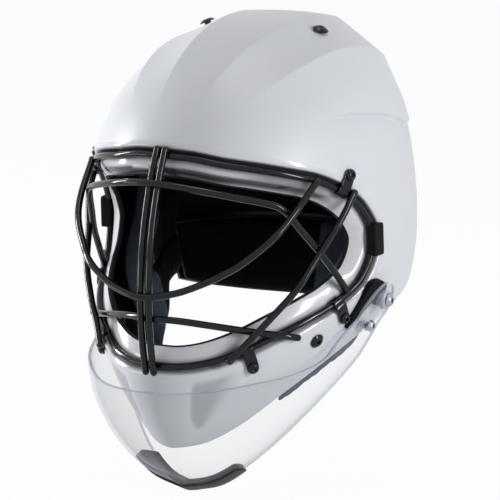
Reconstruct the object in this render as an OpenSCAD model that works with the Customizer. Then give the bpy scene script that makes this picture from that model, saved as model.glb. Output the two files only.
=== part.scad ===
// Field hockey goalkeeper helmet
//
// A fluted moulded shell carries a welded wire face cage, clipped to the lip of
// its cat-eye opening, and foam pads inside. A clear throat guard swings on two
// side screws, and a padded back plate hangs at the nape. Millimetres.
// The origin is the centre of the wearer's head between the ears. The face
// looks along -Y, the crown points along +Z and +X is the wearer's left.

/* [Shell] */
// Half width of the shell at the ears
shell_half_w = 117; // [112:0.5:122]
// Reach of the shell in front of the ears
shell_front = 151.5; // [146:0.5:157]
// Reach of the shell behind the ears
shell_back = 121; // [116:0.5:127]
// Height of the crown above the ears
crown_h = 154.5; // [150:0.5:160]
// How far the top of the crown lies behind the ears
crown_shift = 31; // [24:1:36]
// Thickness of the moulded wall
wall = 3.8; // [3:0.1:4.4]
// Depth of the flutes over the crown
flute_depth = 3; // [1:0.1:3.6]
// Depth of the scoop above each ear
scoop_depth = 3; // [1:0.1:3.6]
// Depth of the shell's bottom edge below the ears at the chin
chin_drop = 145; // [140:1:150]
// Depth of the shell's bottom edge below the ears at the nape
nape_drop = 32; // [28:1:36]

/* [Face opening] */
// Height of the cage rim above the ears at the brow
brow_h = 70; // [67:0.5:72]
// Depth of the cage rim below the ears at the chin
chin_h = 80; // [77:0.5:83]
// Reach of the lip inward from the cage rim
lip_reach = 12; // [10:0.5:13]
// Thickness of the lip
lip_t = 3.4; // [2.8:0.1:4]

/* [Cage] */
// Diameter of the cage wire
wire_d = 5; // [4:0.1:5.4]
// Gap between the cage rim and its seat in the lip
seat_gap = 0.3; // [0.2:0.05:0.5]
// Distance from the centre plane to each of the two centre bars
centre_bar_x = 3.3; // [3:0.1:4]
// Overlap of two wires at a weld
weld = 0.3; // [0.2:0.05:0.6]

/* [Clips] */
// Width of a cage clip
clip_w = 9; // [8:0.5:10]
// Thickness of a clip strap
clip_t = 1.6; // [1.2:0.1:1.8]
// Distance from the cage rim to a clip screw
clip_reach = 12.5; // [12:0.5:14]
// Diameter of a clip screw's shank
clip_screw_d = 4; // [3:0.5:5]

/* [Throat guard] */
// Distance from the shell to the inner face of a guard tab at the pivot
tab_off = 5.3; // [4.9:0.1:6.3]
// Running gap between a tab and the hinge pad under it
tab_gap = 1; // [0.8:0.1:1.4]
// Thickness of the clear sheet
guard_t = 2.5; // [2:0.1:3]
// Height of the pivot below the ears
pivot_drop = 43.5; // [42:0.5:45]
// Distance of the pivot in front of the ears
pivot_front = 21; // [19:0.5:23]
// Distance from the pivot to the guide screw
guide_r = 21; // [20:0.5:22]
// Diameter of the pivot and guide screws
guard_screw_d = 5; // [4:0.5:6]
// Radial clearance of the pivot in its bush
pivot_clear = 0.05; // [0.03:0.01:0.09]
// Upward swing of the guard in degrees
swing_up = 3; // [2:1:4]
// Downward swing of the guard in degrees
swing_down = 8; // [4:1:9]
// Width of the trim strip on the lower edge
trim_w = 11; // [8:0.5:13]

/* [Pads] */
// Thickness of the crown and brow pads
crown_pad_t = 14; // [10:0.5:18]
// Thickness of the side pads
side_pad_t = 28; // [22:0.5:30]
// Thickness of the jaw and chin pads
jaw_pad_t = 12; // [8:0.5:14]
// How far the jaw pads stand out below the shell's edge
pad_drop = 8; // [5:0.5:9]

/* [Back plate] */
// Depth of the back plate's lower edge below the ears
plate_drop = 72; // [66:1:78]
// Thickness of the back plate
plate_t = 2.6; // [2:0.1:3.2]
// Thickness of the pad on the back plate
plate_pad_t = 11; // [8:0.5:14]
// Diameter of the back plate's hinge pins
plate_pin_d = 4; // [3:0.5:5]

/* [Hidden] */
$fn = 48;
CLEAR = 0.3;
dome_m = 2.44;
jaw_taper = 0.28;
chin_tuck = 52.6;
nape_taper = 0.2;

function lerp(a, b, k) = a + (b - a) * k;
function clamp(v, lo, hi) = max(lo, min(hi, v));
function unit(v) = v / norm(v);
function smooth(k) = let (c = clamp(k, 0, 1)) c * c * (3 - 2 * c);
function mirror_x(p) = [-p[0], p[1], p[2]];

// A Catmull-Rom curve through hand-placed points
function spline(p, s) =
    let (
        n = len(p) - 1,
        i = min(floor(s * n), n - 1),
        f = s * n - i,
        p1 = p[i],
        p2 = p[i + 1],
        p0 = i > 0 ? p[i - 1] : 2 * p1 - p2,
        p3 = i < n - 1 ? p[i + 2] : 2 * p2 - p1
    )
    0.5 * (2 * p1 + (p2 - p0) * f + (2 * p0 - 5 * p1 + 4 * p2 - p3) * f * f
        + (3 * p1 - p0 - 3 * p2 + p3) * f * f * f);
function spline_points(p, n) = [for (i = [0:n]) spline(p, i / n)];

// The shell's surface. The turn t is an angle from the front, positive to the
// wearer's left. The rise w is 0 at the ears, 1 at the crown and falls by 1 for
// each 100 mm below the ears.
function squeeze(w) = w > 0 ? pow(cos(90 * min(w, 1)), 2 / dome_m) : 1;
function half_w(w) = shell_half_w * (w > 0 ? squeeze(w) : 1 - jaw_taper * w * w);
function front(w) = shell_front * squeeze(w) - chin_tuck * pow(max(-w - 0.75, 0), 2);
function back(w) = shell_back * (w > 0 ? squeeze(w) : 1 - nape_taper * w * w);
function lean(w) = w > 0 ? crown_shift * pow(sin(90 * w), 2) : 0;
function height(w) = w > 0 ? crown_h * pow(sin(90 * w), 2 / dome_m) : 100 * w;
function rise(z) = z > 0 ? asin(pow(min(z / crown_h, 1), dome_m / 2)) / 90 : z / 100;
function skin_point(t, w) =
    [half_w(w) * sin(t), lean(w) - (cos(t) > 0 ? front(w) : back(w)) * cos(t), height(w)];
function outward(t, w) =
    w > 0.985 ? [0, 0, 1] :
    unit(cross(skin_point(t + 0.5, w) - skin_point(t - 0.5, w),
        skin_point(t, w + 0.004) - skin_point(t, w - 0.004)));
function skin(t, w, depth) = skin_point(t, w) - outward(t, w) * depth;
// The turn of a point that lies near the surface at rise w
function turn(p, w) =
    let (y = p[1] - lean(w))
    atan2(p[0] / half_w(w), -y / (y < 0 ? front(w) : back(w)));
// The shell's half width at a place seen from the side
function side_x(y, z) =
    let (w = rise(z), d = (y - lean(w)) / (y < lean(w) ? front(w) : back(w)))
    half_w(w) * sqrt(max(0, 1 - d * d));

// The bottom edge, from the chin round to the nape
EDGE = [chin_drop, 143, 139, 126, 106, 81, 58, 46, 40, 36, 34, nape_drop, nape_drop];
function edge_w(t) = -spline(EDGE, abs(t > 180 ? 360 - t : t) / 180) / 100;

// Shell grid: a square cap of lanes and rows over the crown, which joins a belt
// of columns round the sides
LANES = [0, 0.07, 0.14, 0.2, 0.29, 0.38, 0.47, 0.56, 0.67, 0.78, 0.89, 1];
lanes = len(LANES) - 1;
cap_rows = 18;
columns = 4 * lanes + 2 * cap_rows;
slit = lanes + 7;
belt = 6;
jaw = 6;
ridge_in = 0.2;
ridge_out = 0.56;

// The rise of the crease where the crown meets the sides
function crease_w(t) = 0.36 - 0.17 * pow((clamp(abs(t > 180 ? 360 - t : t), 57, 107) - 67) * PI / 180, 2);
// Place on the cap: x runs across the head and y from brow to nape, -1 to 1
function cap_turn(x, y) = let (a = atan2(x * sqrt(1 - y * y / 2), -y * sqrt(1 - x * x / 2))) a;
function cap_rise(x, y) =
    1 - (1 - crease_w(cap_turn(x, y))) * min(1, sqrt(x * x + y * y - x * x * y * y));
// The flutes: a channel over the middle and a wider one at each side of it,
// with a sharp ridge between them
function flute(x, y) =
    let (
        a = abs(x),
        mid = 1 - pow(a / ridge_in, 2),
        k = (a - ridge_in) / (ridge_out - ridge_in),
        m = (a - ridge_out) / (1 - ridge_out),
        form = a < ridge_in ? 0.7 * mid : a < ridge_out ? 4 * k * (1 - k) : 3.2 * m * pow(1 - m, 2)
    )
    flute_depth * form * smooth((1 - abs(y)) / 0.55);
// The scoop above each ear, deepest just under the crease
function scoop(t, w) =
    let (
        a = abs(t > 180 ? 360 - t : t),
        top = crease_w(t),
        low = clamp(0.31 - 0.3 * (a - 60) * PI / 180, -0.1, 0.3),
        k = clamp((top - w) / max(top - low, 0.02), 0, 1)
    )
    a < 57 || a > 150 ? 0 :
    scoop_depth * pow(1 - k, 1.4) * smooth((a - 57) / 16) * smooth((150 - a) / 25);

// The cat-eye rim of the opening, as turn and height, down the wearer's left
LEFT_RIM = [
    [0, brow_h], [12, brow_h - 1], [24, brow_h - 5], [36, brow_h - 9], [47, 56], [57, 50], [66, 40], [74, 25], [79, 2],
    [75, -26], [66, -42], [56, -52], [46, -61], [36, -70], [24, -77], [12, -chin_h], [0, -chin_h]
];
function rim_place(s) = s < 0 ? let (q = rim_place(-s)) [-q[0], q[1]] : spline(LEFT_RIM, clamp(s, 0, 1));
function rim_on_skin(s) = let (q = rim_place(s)) skin_point(q[0], rise(q[1]));
// The rim's own directions: along it, out of the opening, and out of the shell
function rim_frame(s) =
    let (
        c = clamp(abs(s), 0.004, 0.996),
        q = rim_place(c),
        n = outward(q[0], rise(q[1])),
        a = rim_on_skin(c + 0.004) - rim_on_skin(c - 0.004),
        o = unit(cross(n, unit(a))),
        m = abs(s) < 0.004 || abs(s) > 0.996 ? 0 : 1,
        e = [m * o[0], o[1], o[2]],
        g = [m * n[0], n[1], n[2]]
    )
    s < 0 ? [mirror_x(unit(e)), mirror_x(unit(g))] : [unit(e), unit(g)];
// A point o mm out of the opening and d mm below the shell's surface
function rim_point(s, o, d) =
    let (f = rim_frame(s)) rim_on_skin(s) + f[0] * o - f[1] * d;
wire_r = wire_d / 2;
rim_depth = 3.6;
seat = rim_depth + wire_r + seat_gap;
// The lip drops deeper where it turns back beside the eyes
function lip_drop(s) = 5 + 5 * pow(abs(rim_on_skin(s)[0]) / shell_half_w, 4);
lip_out = 9;

// Sections of the lip, as reach out of the opening and depth below the surface
function lip_section(s) =
    let (e = lip_drop(s))
    [
        [6.4, 0.5], [4.3, 2], [3, seat - 1.6], [0, seat], [-lip_reach * 0.5, seat + 0.3 * e],
        [-lip_reach, seat + e], [-lip_reach - 0.6, seat + e + 0.7 * lip_t],
        [-lip_reach + 1.5, seat + e + lip_t], [-lip_reach * 0.4, seat + 0.3 * e + lip_t], [2.5, seat + lip_t]
    ];
lip_rings = 10;

// Place of the outer edge of the lip, on the shell's surface
function lip_edge(s) =
    let (p = rim_point(s, lip_out, 0), w = rise(p[2])) [turn(p, w), w];

// Cap place of vertex j round the cap's border, from the front centre to the left
function lane_x(i) = i < 0 ? -LANES[-i] : LANES[i];
function border_i(j) =
    let (k = j % columns)
    k <= lanes ? k : k <= lanes + cap_rows ? lanes
    : k <= 3 * lanes + cap_rows ? 2 * lanes + cap_rows - k
    : k <= 3 * lanes + 2 * cap_rows ? -lanes : k - columns;
function border_k(j) =
    let (k = j % columns)
    k <= lanes ? 0 : k <= lanes + cap_rows ? k - lanes
    : k <= 3 * lanes + cap_rows ? cap_rows
    : k <= 3 * lanes + 2 * cap_rows ? 3 * lanes + 2 * cap_rows - k : 0;
function border_turn(j) =
    let (a = cap_turn(lane_x(border_i(j)), border_k(j) * 2 / cap_rows - 1)) a;
function signed(j) = j > columns / 2 ? j - columns : j;
function wrap(t) = t < -90 ? t + 360 : t;

// Place of a belt vertex: u from the opening up to the crease, or v from the
// bottom edge up to the opening
BELT_STEPS = [0, 0.22, 0.44, 0.64, 0.82, 0.94];
function slit_s(j, low) = let (c = signed(j) / slit * 0.5) low ? (c < 0 ? -1 - c : 1 - c) : c;
function belt_place(j, u) =
    let (
        a = wrap(border_turn(j)),
        q = abs(signed(j)) <= slit ? lip_edge(slit_s(j, false)) : [a, 0.03],
        b = abs(signed(j)) <= slit ? wrap(q[0]) : a,
        f = BELT_STEPS[u]
    )
    [lerp(b, abs(b - a) > 180 ? a - 360 : a, f), lerp(q[1], crease_w(a), f)];
function jaw_place(j, v) =
    let (
        q = abs(signed(j)) <= slit ? lip_edge(slit_s(j, true)) : [wrap(border_turn(j)), 0.03],
        f = v / jaw
    )
    [q[0], lerp(edge_w(q[0]), q[1], f)];

cap_n = (2 * lanes + 1) * (cap_rows + 1);
side_n = cap_n + (belt + jaw + 1) * columns;
function cap_at(i, k) = (i + lanes) + k * (2 * lanes + 1);
function belt_at(j, u) =
    u == belt ? cap_at(border_i(j), border_k(j)) : cap_n + u * columns + j % columns;
function jaw_at(j, v) =
    v == jaw && abs(signed(j % columns)) >= slit ? belt_at(j, 0) : cap_n + (belt + v) * columns + j % columns;

function cap_points(depth) = [
    for (k = [0:cap_rows], i = [-lanes:lanes])
        let (x = lane_x(i), y = 2 * k / cap_rows - 1)
        skin(cap_turn(x, y), cap_rise(x, y), depth + flute(x, y))
];
function belt_points(depth) = [
    for (u = [0:belt - 1], j = [0:columns - 1])
        let (q = belt_place(j, u)) skin(q[0], q[1], depth + (u == 0 ? 0 : scoop(q[0], q[1])))
];
function jaw_points(depth) = [
    for (v = [0:jaw], j = [0:columns - 1])
        let (q = jaw_place(j, v)) skin(q[0], q[1], depth)
];
function side_points(depth) = concat(cap_points(depth), belt_points(depth), jaw_points(depth));

function quad(a, b, c, d) = [[a, b, c], [a, c, d]];
function flat1(v) = [for (a = v, b = a) b];
function flipped(v) = [for (f = v) [f[0], f[2], f[1]]];
function shift_faces(v, n) = [for (f = v) f + [n, n, n]];
function side_faces() = flat1(concat(
    [for (k = [0:cap_rows - 1], i = [-lanes:lanes - 1])
        quad(cap_at(i, k), cap_at(i, k + 1), cap_at(i + 1, k + 1), cap_at(i + 1, k))],
    [for (u = [0:belt - 1], j = [0:columns - 1])
        quad(belt_at(j, u), belt_at(j, u + 1), belt_at(j + 1, u + 1), belt_at(j + 1, u))],
    [for (v = [0:jaw - 1], j = [0:columns - 1])
        quad(jaw_at(j, v), jaw_at(j, v + 1), jaw_at(j + 1, v + 1), jaw_at(j + 1, v))]
));

// Vertex m round the opening, from the brow down the left and back up the right
ring_n = 4 * slit;
function ring_j(m) = let (k = m % ring_n) k <= slit ? k : k <= 3 * slit ? 2 * slit - k : k - 4 * slit;
function ring_low(m) = let (k = m % ring_n) k > slit && k < 3 * slit;
function ring_at(m) =
    let (j = (ring_j(m) + columns) % columns) ring_low(m) ? jaw_at(j, jaw) : belt_at(j, 0);
function ring_s(m) =
    let (k = m % ring_n) k <= 2 * slit ? k / (2 * slit) : k / (2 * slit) - 2;
lip_points = [
    for (r = [0:lip_rings - 1], m = [0:ring_n - 1])
        let (s = ring_s(m), q = lip_section(s)[r]) rim_point(s, q[0], q[1])
];
function lip_at(m, r) =
    r < 0 ? ring_at(m) : r == lip_rings ? side_n + ring_at(m) : 2 * side_n + r * ring_n + m % ring_n;

module shell_solid() {
    points = concat(side_points(0), side_points(wall), lip_points);
    faces = concat(
        side_faces(),
        shift_faces(flipped(side_faces()), side_n),
        flat1([for (j = [0:columns - 1])
            quad(jaw_at(j, 0), jaw_at(j + 1, 0), side_n + jaw_at(j + 1, 0), side_n + jaw_at(j, 0))]),
        flat1([for (m = [0:ring_n - 1], r = [-1:lip_rings - 1])
            quad(lip_at(m, r), lip_at(m + 1, r), lip_at(m + 1, r + 1), lip_at(m, r + 1))])
    );
    polyhedron(points, faces, convexity = 8);
}

// A round wire along a path of points
function path_dir(p, i, closed) =
    let (n = len(p)) closed ? unit(p[(i + 1) % n] - p[(i + n - 1) % n])
    : unit(p[min(i + 1, n - 1)] - p[max(i - 1, 0)]);
module wire(path, r, closed = false, sides = 8) {
    n = len(path);
    ring = [
        for (i = [0:n - 1])
            let (
                d = path_dir(path, i, closed),
                u = unit(cross(d, cross(unit([path[i][0] * 0.3, path[i][1], 0.2]), d))),
                v = cross(d, u)
            )
            for (k = [0:sides - 1]) path[i] + r * (cos(360 * k / sides) * u + sin(360 * k / sides) * v)
    ];
    last = closed ? n : n - 1;
    tube = [
        for (i = [0:last - 1], k = [0:sides - 1])
            let (a = i * sides, b = ((i + 1) % n) * sides, l = (k + 1) % sides)
            for (f = quad(a + k, a + l, b + l, b + k)) f
    ];
    ends = closed ? [] : [
        [for (k = [sides - 1:-1:0]) k],
        [for (k = [0:sides - 1]) (n - 1) * sides + k]
    ];
    polyhedron(ring, concat(flipped(tube), [for (e = ends) [for (k = [sides - 1:-1:0]) e[k]]]), convexity = 6);
}

// Cage routes on the wearer's left, from the middle outward. The wires stand
// in layers, so that each crossing is a weld.
layer = wire_d - weld;
bar_r = 242;
bar_y = bar_r - shell_front - 8.3;
bar_z = -30;
function bar_front(z) = bar_y - sqrt(bar_r * bar_r - pow(z - bar_z, 2));
U_BAR = concat([[0, bar_front(-28) - layer, -28]], fitted([
    [24, -160, -24], [42, -153, -17], [55, -146, -10], [66, -136, -2], [80, -121, 13], [88, -105, 28], [94, -80, 50]
]));
BROW_BAR = concat([[0, bar_front(51) - layer, 51]], fitted([
    [30, -144, 48], [56, -128, 42], [75, -111, 36], [82, -103, 30], [88, -91, 15], [95, -77, -2], [100, -62, -20], [103, -50, -35]
]));
DIAGONAL = fitted([
    [109, -53, 39], [106, -66, 22], [97, -81, -1], [88, -98, -25], [75, -113, -45], [64, -123, -60], [54, -134, -74]
]);
LOWER_BAR = [
    [0, bar_front(-43) + layer, -43], each fitted([[20, -148, -44], [42, -133, -48.5], [60, -117.5, -54]]),
    rim_point(0.7, 0, rim_depth - layer), rim_point(0.706, 6.5, -wire_r - CLEAR)
];
function both_ways(p) = concat([for (i = [len(p) - 1:-1:1]) mirror_x(p[i])], p);
// The routes are drawn for the base shell and follow its width and reach
function fitted(v) = [for (p = v) [p[0] * shell_half_w / 117, p[1] * shell_front / 151.5, p[2]]];

// Stations of the six clips round the rim
CLIPS = [0.371, 0.622, 0.806];
clip_bore = wire_r + 0.15;

// Turns a child's X out of the opening and its Z out of the shell
module at_rim(s, o = 0, d = 0) {
    f = rim_frame(s);
    t = cross(f[1], f[0]);
    p = rim_point(s, o, d);
    multmatrix([
        [f[0][0], t[0], f[1][0], p[0]],
        [f[0][1], t[1], f[1][1], p[1]],
        [f[0][2], t[2], f[1][2], p[2]],
        [0, 0, 0, 1]
    ]) children();
}
module at_skin(t, w, d = 0) {
    n = outward(t, w);
    x = unit(cross([0, 1, 0.2], n));
    y = cross(n, x);
    p = skin(t, w, d);
    multmatrix([
        [x[0], y[0], n[0], p[0]],
        [x[1], y[1], n[1], p[1]],
        [x[2], y[2], n[2], p[2]],
        [0, 0, 0, 1]
    ]) children();
}
module each_clip() {
    for (s = CLIPS, side = [-1, 1]) at_rim(s * side) children();
}
module both_sides() {
    children();
    mirror([1, 0, 0]) children();
}
module bore(d, from = -14, to = 6) {
    translate([0, 0, from]) cylinder(d = d, h = to - from);
}

// Places of the crown screws and the jaw screws
crown_screw = [72.9, 0.766];
jaw_screw = [61.4, -0.67];
shell_screw_d = 5;
// The crown screws sit in the side flutes
screw_sink = 0.55 * flute_depth;

// Pivot, guide screw and slot of the throat guard, seen from the side
pivot = [-pivot_front, -pivot_drop];
guide_turn = 238;
guide = pivot + guide_r * [cos(guide_turn), sin(guide_turn)];
// Frame of the tilted tab: out of it, along it from pivot to guide, and across
tab_out = outward(76, -0.52);
tab_x = side_x(pivot[0], pivot[1]) + tab_off;
tab_origin = [tab_x, pivot[0], pivot[1]];
tab_along = unit([-(tab_out[1] * cos(guide_turn) + tab_out[2] * sin(guide_turn)) / tab_out[0], cos(guide_turn), sin(guide_turn)]);
tab_across = cross(tab_out, tab_along);
function on_tab(a, b, h = 0) = tab_origin + a * tab_along + b * tab_across + h * tab_out;
guide_x = on_tab(guide_r / norm([tab_along[1], tab_along[2]]), 0)[0];

module outer_shell() {
    color([0.88, 0.89, 0.91]) difference() {
        shell_solid();
        each_clip() translate([clip_reach, 0, 0]) bore(clip_screw_d + CLEAR);
        both_sides() at_skin(crown_screw[0], crown_screw[1]) bore(shell_screw_d + CLEAR);
        both_sides() at_skin(jaw_screw[0], jaw_screw[1]) bore(shell_screw_d + CLEAR);
        for (p = [pivot, guide])
            translate([-1.2 * shell_half_w, p[0], p[1]]) rotate([0, 90, 0])
                cylinder(d = guard_screw_d + CLEAR, h = 2.4 * shell_half_w);
    }
}

module cage_rim() {
    color([0.06, 0.06, 0.07]) wire([for (m = [0:71]) rim_point(m < 37 ? m / 36 : m / 36 - 2, 0, rim_depth)],
        wire_r, closed = true);
}
module cage_u_bar() {
    color([0.06, 0.06, 0.07]) wire(spline_points(both_ways(U_BAR), 40), wire_r);
}
module cage_brow_bar() {
    color([0.06, 0.06, 0.07]) wire(spline_points(both_ways(BROW_BAR), 46), wire_r);
}
module cage_diagonal_left() {
    color([0.06, 0.06, 0.07]) wire(spline_points(DIAGONAL, 20), wire_r);
}
module cage_diagonal_right() {
    color([0.06, 0.06, 0.07]) wire(spline_points([for (p = DIAGONAL) mirror_x(p)], 20), wire_r);
}
module cage_lower_bar() {
    color([0.06, 0.06, 0.07]) wire(spline_points(both_ways(LOWER_BAR), 32), wire_r);
}
module cage_centre_bars() {
    up = asin((brow_h + 3 - bar_z) / bar_r);
    down = asin((chin_h + 4 + bar_z) / bar_r);
    color([0.06, 0.06, 0.07]) both_sides()
        translate([centre_bar_x, bar_y, bar_z]) rotate([0, 90, 0]) rotate([0, 0, 270 - up])
            rotate_extrude(angle = up + down, $fn = 180) translate([bar_r, 0]) circle(r = wire_r, $fn = 24);
}

// One clip: a strap that goes round the rim wire and lies on the shell
module clip_profile() {
    low = -rim_depth;
    difference() {
        union() {
            intersection() {
                translate([0, low]) circle(r = clip_bore + clip_t);
                translate([-20, -20]) square([21.6, 40]);
            }
            polygon([[0, low + clip_bore], [3, 0.3], [6, CLEAR], [clip_reach + clip_w / 2, CLEAR], [clip_reach + clip_w / 2, CLEAR + clip_t],
                [4, CLEAR + clip_t], [-1, low + clip_bore + clip_t]]);
        }
        translate([0, low]) circle(r = clip_bore);
        translate([-20, low - 20]) square([40, 20 - seat_gap]);
    }
}
module cage_clips() {
    color([0.1, 0.1, 0.11]) each_clip() difference() {
        intersection() {
            translate([0, clip_w / 2, 0]) rotate([90, 0, 0]) linear_extrude(clip_w) clip_profile();
            translate([0, 0, -20]) linear_extrude(40) hull() {
                translate([clip_reach, 0]) circle(d = clip_w, $fn = 32);
                translate([-12, -clip_w / 2]) square([1, clip_w]);
            }
        }
        translate([clip_reach, 0, 0]) bore(clip_screw_d + CLEAR);
    }
}
module clip_screws() {
    color([0.12, 0.12, 0.13]) each_clip() translate([clip_reach, 0, 0]) {
        translate([0, 0, -wall - 5]) cylinder(d = clip_screw_d, h = wall + 5.5 + 2 * CLEAR + clip_t);
        translate([0, 0, 2 * CLEAR + clip_t]) intersection() {
            cylinder(r = 4.2, h = 2.2);
            translate([0, 0, -6.2]) sphere(r = 8.4);
        }
    }
}
module clip_nuts() {
    color([0.6, 0.6, 0.62]) each_clip() translate([clip_reach, 0, -wall - 3.2 - CLEAR]) difference() {
        cylinder(r = 4.2, h = 3.2, $fn = 6);
        translate([0, 0, -1]) cylinder(d = clip_screw_d + 0.1, h = 6);
    }
}

// Rubber block that steadies the cage at its widest point
module rim_buffers() {
    color([0.05, 0.05, 0.05]) both_sides() at_rim(0.5) difference() {
        union() {
            translate([-5.5, -12.5, -seat + CLEAR]) cube([7.9, 25, seat]);
            translate([-5.5, -12.5, 0.6]) cube([11, 25, 2]);
            translate([-5.5, -12.5, 0]) cube([7.9, 25, 2]);
        }
        translate([0, 20, -rim_depth]) rotate([90, 0, 0]) cylinder(r = wire_r + 0.1, h = 40);
        translate([0, -20, -20]) cube([10, 40, 20 - rim_depth]);
    }
}

// A pad as a pillow between two turns and two rises. Its back lies under the
// shell's surface by depth, and its face swells toward the head. Its front edge can run
// forward toward the bottom by a number of degrees.
module pad(turns, low, high, depth, thick, nu = 12, nv = 8, drawn = 0.35, fore = 0) {
    function place(u, v) =
        let (t = lerp(turns[0] - fore * smooth((0.46 - v) / 0.3), turns[1], u)) [t, lerp(low(t), high(t), v)];
    function swell(u, v) = drawn + (1 - drawn) * pow(max(0, (1 - pow(2 * u - 1, 6)) * (1 - pow(2 * v - 1, 6))), 0.5);
    back_points = [for (v = [0:nv], u = [0:nu]) let (q = place(u / nu, v / nv)) skin(q[0], q[1], depth)];
    face_points = [for (v = [0:nv], u = [0:nu])
        let (q = place(u / nu, v / nv)) skin(q[0], q[1], depth + thick * swell(u / nu, v / nv))];
    n = (nu + 1) * (nv + 1);
    function at(u, v) = v * (nu + 1) + u;
    border = concat([for (u = [0:nu - 1]) at(u, 0)], [for (v = [0:nv - 1]) at(nu, v)],
        [for (u = [nu:-1:1]) at(u, nv)], [for (v = [nv:-1:1]) at(0, v)]);
    m = len(border);
    polyhedron(concat(back_points, face_points), flat1(concat(
        [for (v = [0:nv - 1], u = [0:nu - 1]) quad(at(u, v), at(u, v + 1), at(u + 1, v + 1), at(u + 1, v))],
        [for (v = [0:nv - 1], u = [0:nu - 1])
            quad(n + at(u, v), n + at(u + 1, v), n + at(u + 1, v + 1), n + at(u, v + 1))],
        [for (i = [0:m - 1]) quad(border[i], border[(i + 1) % m], n + border[(i + 1) % m], n + border[i])]
    )), convexity = 4);
}
under_shell = wall + CLEAR;
under_flutes = under_shell + flute_depth;
foam = [0.1, 0.1, 0.11];

// The crown pad lies under the cap and follows its lanes
module crown_pad() {
    nu = 14;
    nv = 14;
    function edge_fall(a) = sqrt(max(0, 1 - pow(a, 6)));
    function cap_skin(u, v, t) =
        let (x = 0.78 * (2 * u / nu - 1), y = 1.06 * v / nv - 0.46)
        skin(cap_turn(x, y), cap_rise(x, y), under_flutes + t * (0.35 + 0.65 * edge_fall(2 * u / nu - 1) * edge_fall(2 * v / nv - 1)));
    n = (nu + 1) * (nv + 1);
    function at(u, v) = v * (nu + 1) + u;
    border = concat([for (u = [0:nu - 1]) at(u, 0)], [for (v = [0:nv - 1]) at(nu, v)],
        [for (u = [nu:-1:1]) at(u, nv)], [for (v = [nv:-1:1]) at(0, v)]);
    m = len(border);
    module pillow() polyhedron(
        concat([for (v = [0:nv], u = [0:nu]) cap_skin(u, v, 0)], [for (v = [0:nv], u = [0:nu]) cap_skin(u, v, crown_pad_t)]),
        flat1(concat(
            [for (v = [0:nv - 1], u = [0:nu - 1]) quad(at(u, v), at(u, v + 1), at(u + 1, v + 1), at(u + 1, v))],
            [for (v = [0:nv - 1], u = [0:nu - 1])
                quad(n + at(u, v), n + at(u + 1, v), n + at(u + 1, v + 1), n + at(u, v + 1))],
            [for (i = [0:m - 1]) quad(border[i], border[(i + 1) % m], n + border[(i + 1) % m], n + border[i])]
        )), convexity = 4);
    color(foam) difference() {
        pillow();
        both_sides() at_skin(crown_screw[0], crown_screw[1], screw_sink) translate([0, 0, -wall - 8]) cylinder(r = 7, h = 14);
    }
}
module brow_pad() {
    color(foam) pad([-46, 46], function(t) crease_w(0) - 0.01, function(t) crease_w(0) + 0.2, under_flutes, crown_pad_t, 14, 6);
}
module rear_pad() {
    color(foam) pad([134, 226], function(t) 0.02, function(t) 0.37, under_flutes - 1, side_pad_t * 0.6, 14, 8);
}
side_pad_low = function(t) edge_w(t) + 0.04 - (0.04 + pad_drop / 100) * smooth((94 - t) / 16);
module side_pad_left() {
    color([0.2, 0.24, 0.3]) difference() {
        pad([85, 106], side_pad_low, function(t) 0.34, under_flutes, side_pad_t, 9, 14, fore = 16);
        // Pockets for the nuts and screw ends behind it
        for (p = [pivot, guide])
            translate([side_x(p[0], p[1]) - 16, p[0], p[1]]) rotate([0, 90, 0]) cylinder(r = 6.5, h = 30);
        at_rim(CLIPS[1]) translate([clip_reach, 0, -wall - 6]) cylinder(r = 5.5, h = 20);
        at_skin(jaw_screw[0], jaw_screw[1]) translate([0, 0, -wall - 7]) cylinder(r = 6.5, h = 20);
    }
}
module side_pad_right() {
    mirror([1, 0, 0]) side_pad_left();
}
jaw_pad_low = function(t) edge_w(t) - pad_drop / 100 * (0.4 + 0.6 * smooth((abs(t) - 25) / 20));
module jaw_pad_left() {
    color(foam) pad([30, 66], jaw_pad_low, function(t) -1.02 + 0.3 * pow((t - 30) / 36, 1.6), under_shell, jaw_pad_t, 10, 5);
}
module jaw_pad_right() {
    mirror([1, 0, 0]) jaw_pad_left();
}
module chin_pad() {
    color(foam) pad([-28, 28], jaw_pad_low, function(t) -1.08, under_shell, jaw_pad_t, 10, 5);
}

// Screws through the shell with a domed head outside and a nut inside
module shell_screw(d, head) {
    translate([0, 0, -wall - 6]) cylinder(d = d, h = wall + 6.5 + CLEAR);
    translate([0, 0, CLEAR]) intersection() {
        cylinder(r = head, h = 2.4);
        translate([0, 0, 2.4 - 2 * head]) sphere(r = 2 * head);
    }
}
module shell_nut(d, r) {
    translate([0, 0, -wall - CLEAR - 3.4]) difference() {
        cylinder(r = r, h = 3.4, $fn = 6);
        translate([0, 0, -1]) cylinder(d = d + 0.1, h = 6);
    }
}
module crown_screws() {
    color([0.05, 0.05, 0.05]) both_sides() at_skin(crown_screw[0], crown_screw[1], screw_sink) shell_screw(shell_screw_d, 6);
}
module crown_nuts() {
    color([0.6, 0.6, 0.62]) both_sides() at_skin(crown_screw[0], crown_screw[1], screw_sink) shell_nut(shell_screw_d, 5);
}
module jaw_screws() {
    color([0.05, 0.05, 0.05]) both_sides() at_skin(jaw_screw[0], jaw_screw[1]) shell_screw(shell_screw_d, 5.5);
}
module jaw_nuts() {
    color([0.6, 0.6, 0.62]) both_sides() at_skin(jaw_screw[0], jaw_screw[1]) shell_nut(shell_screw_d, 5);
}

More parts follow.
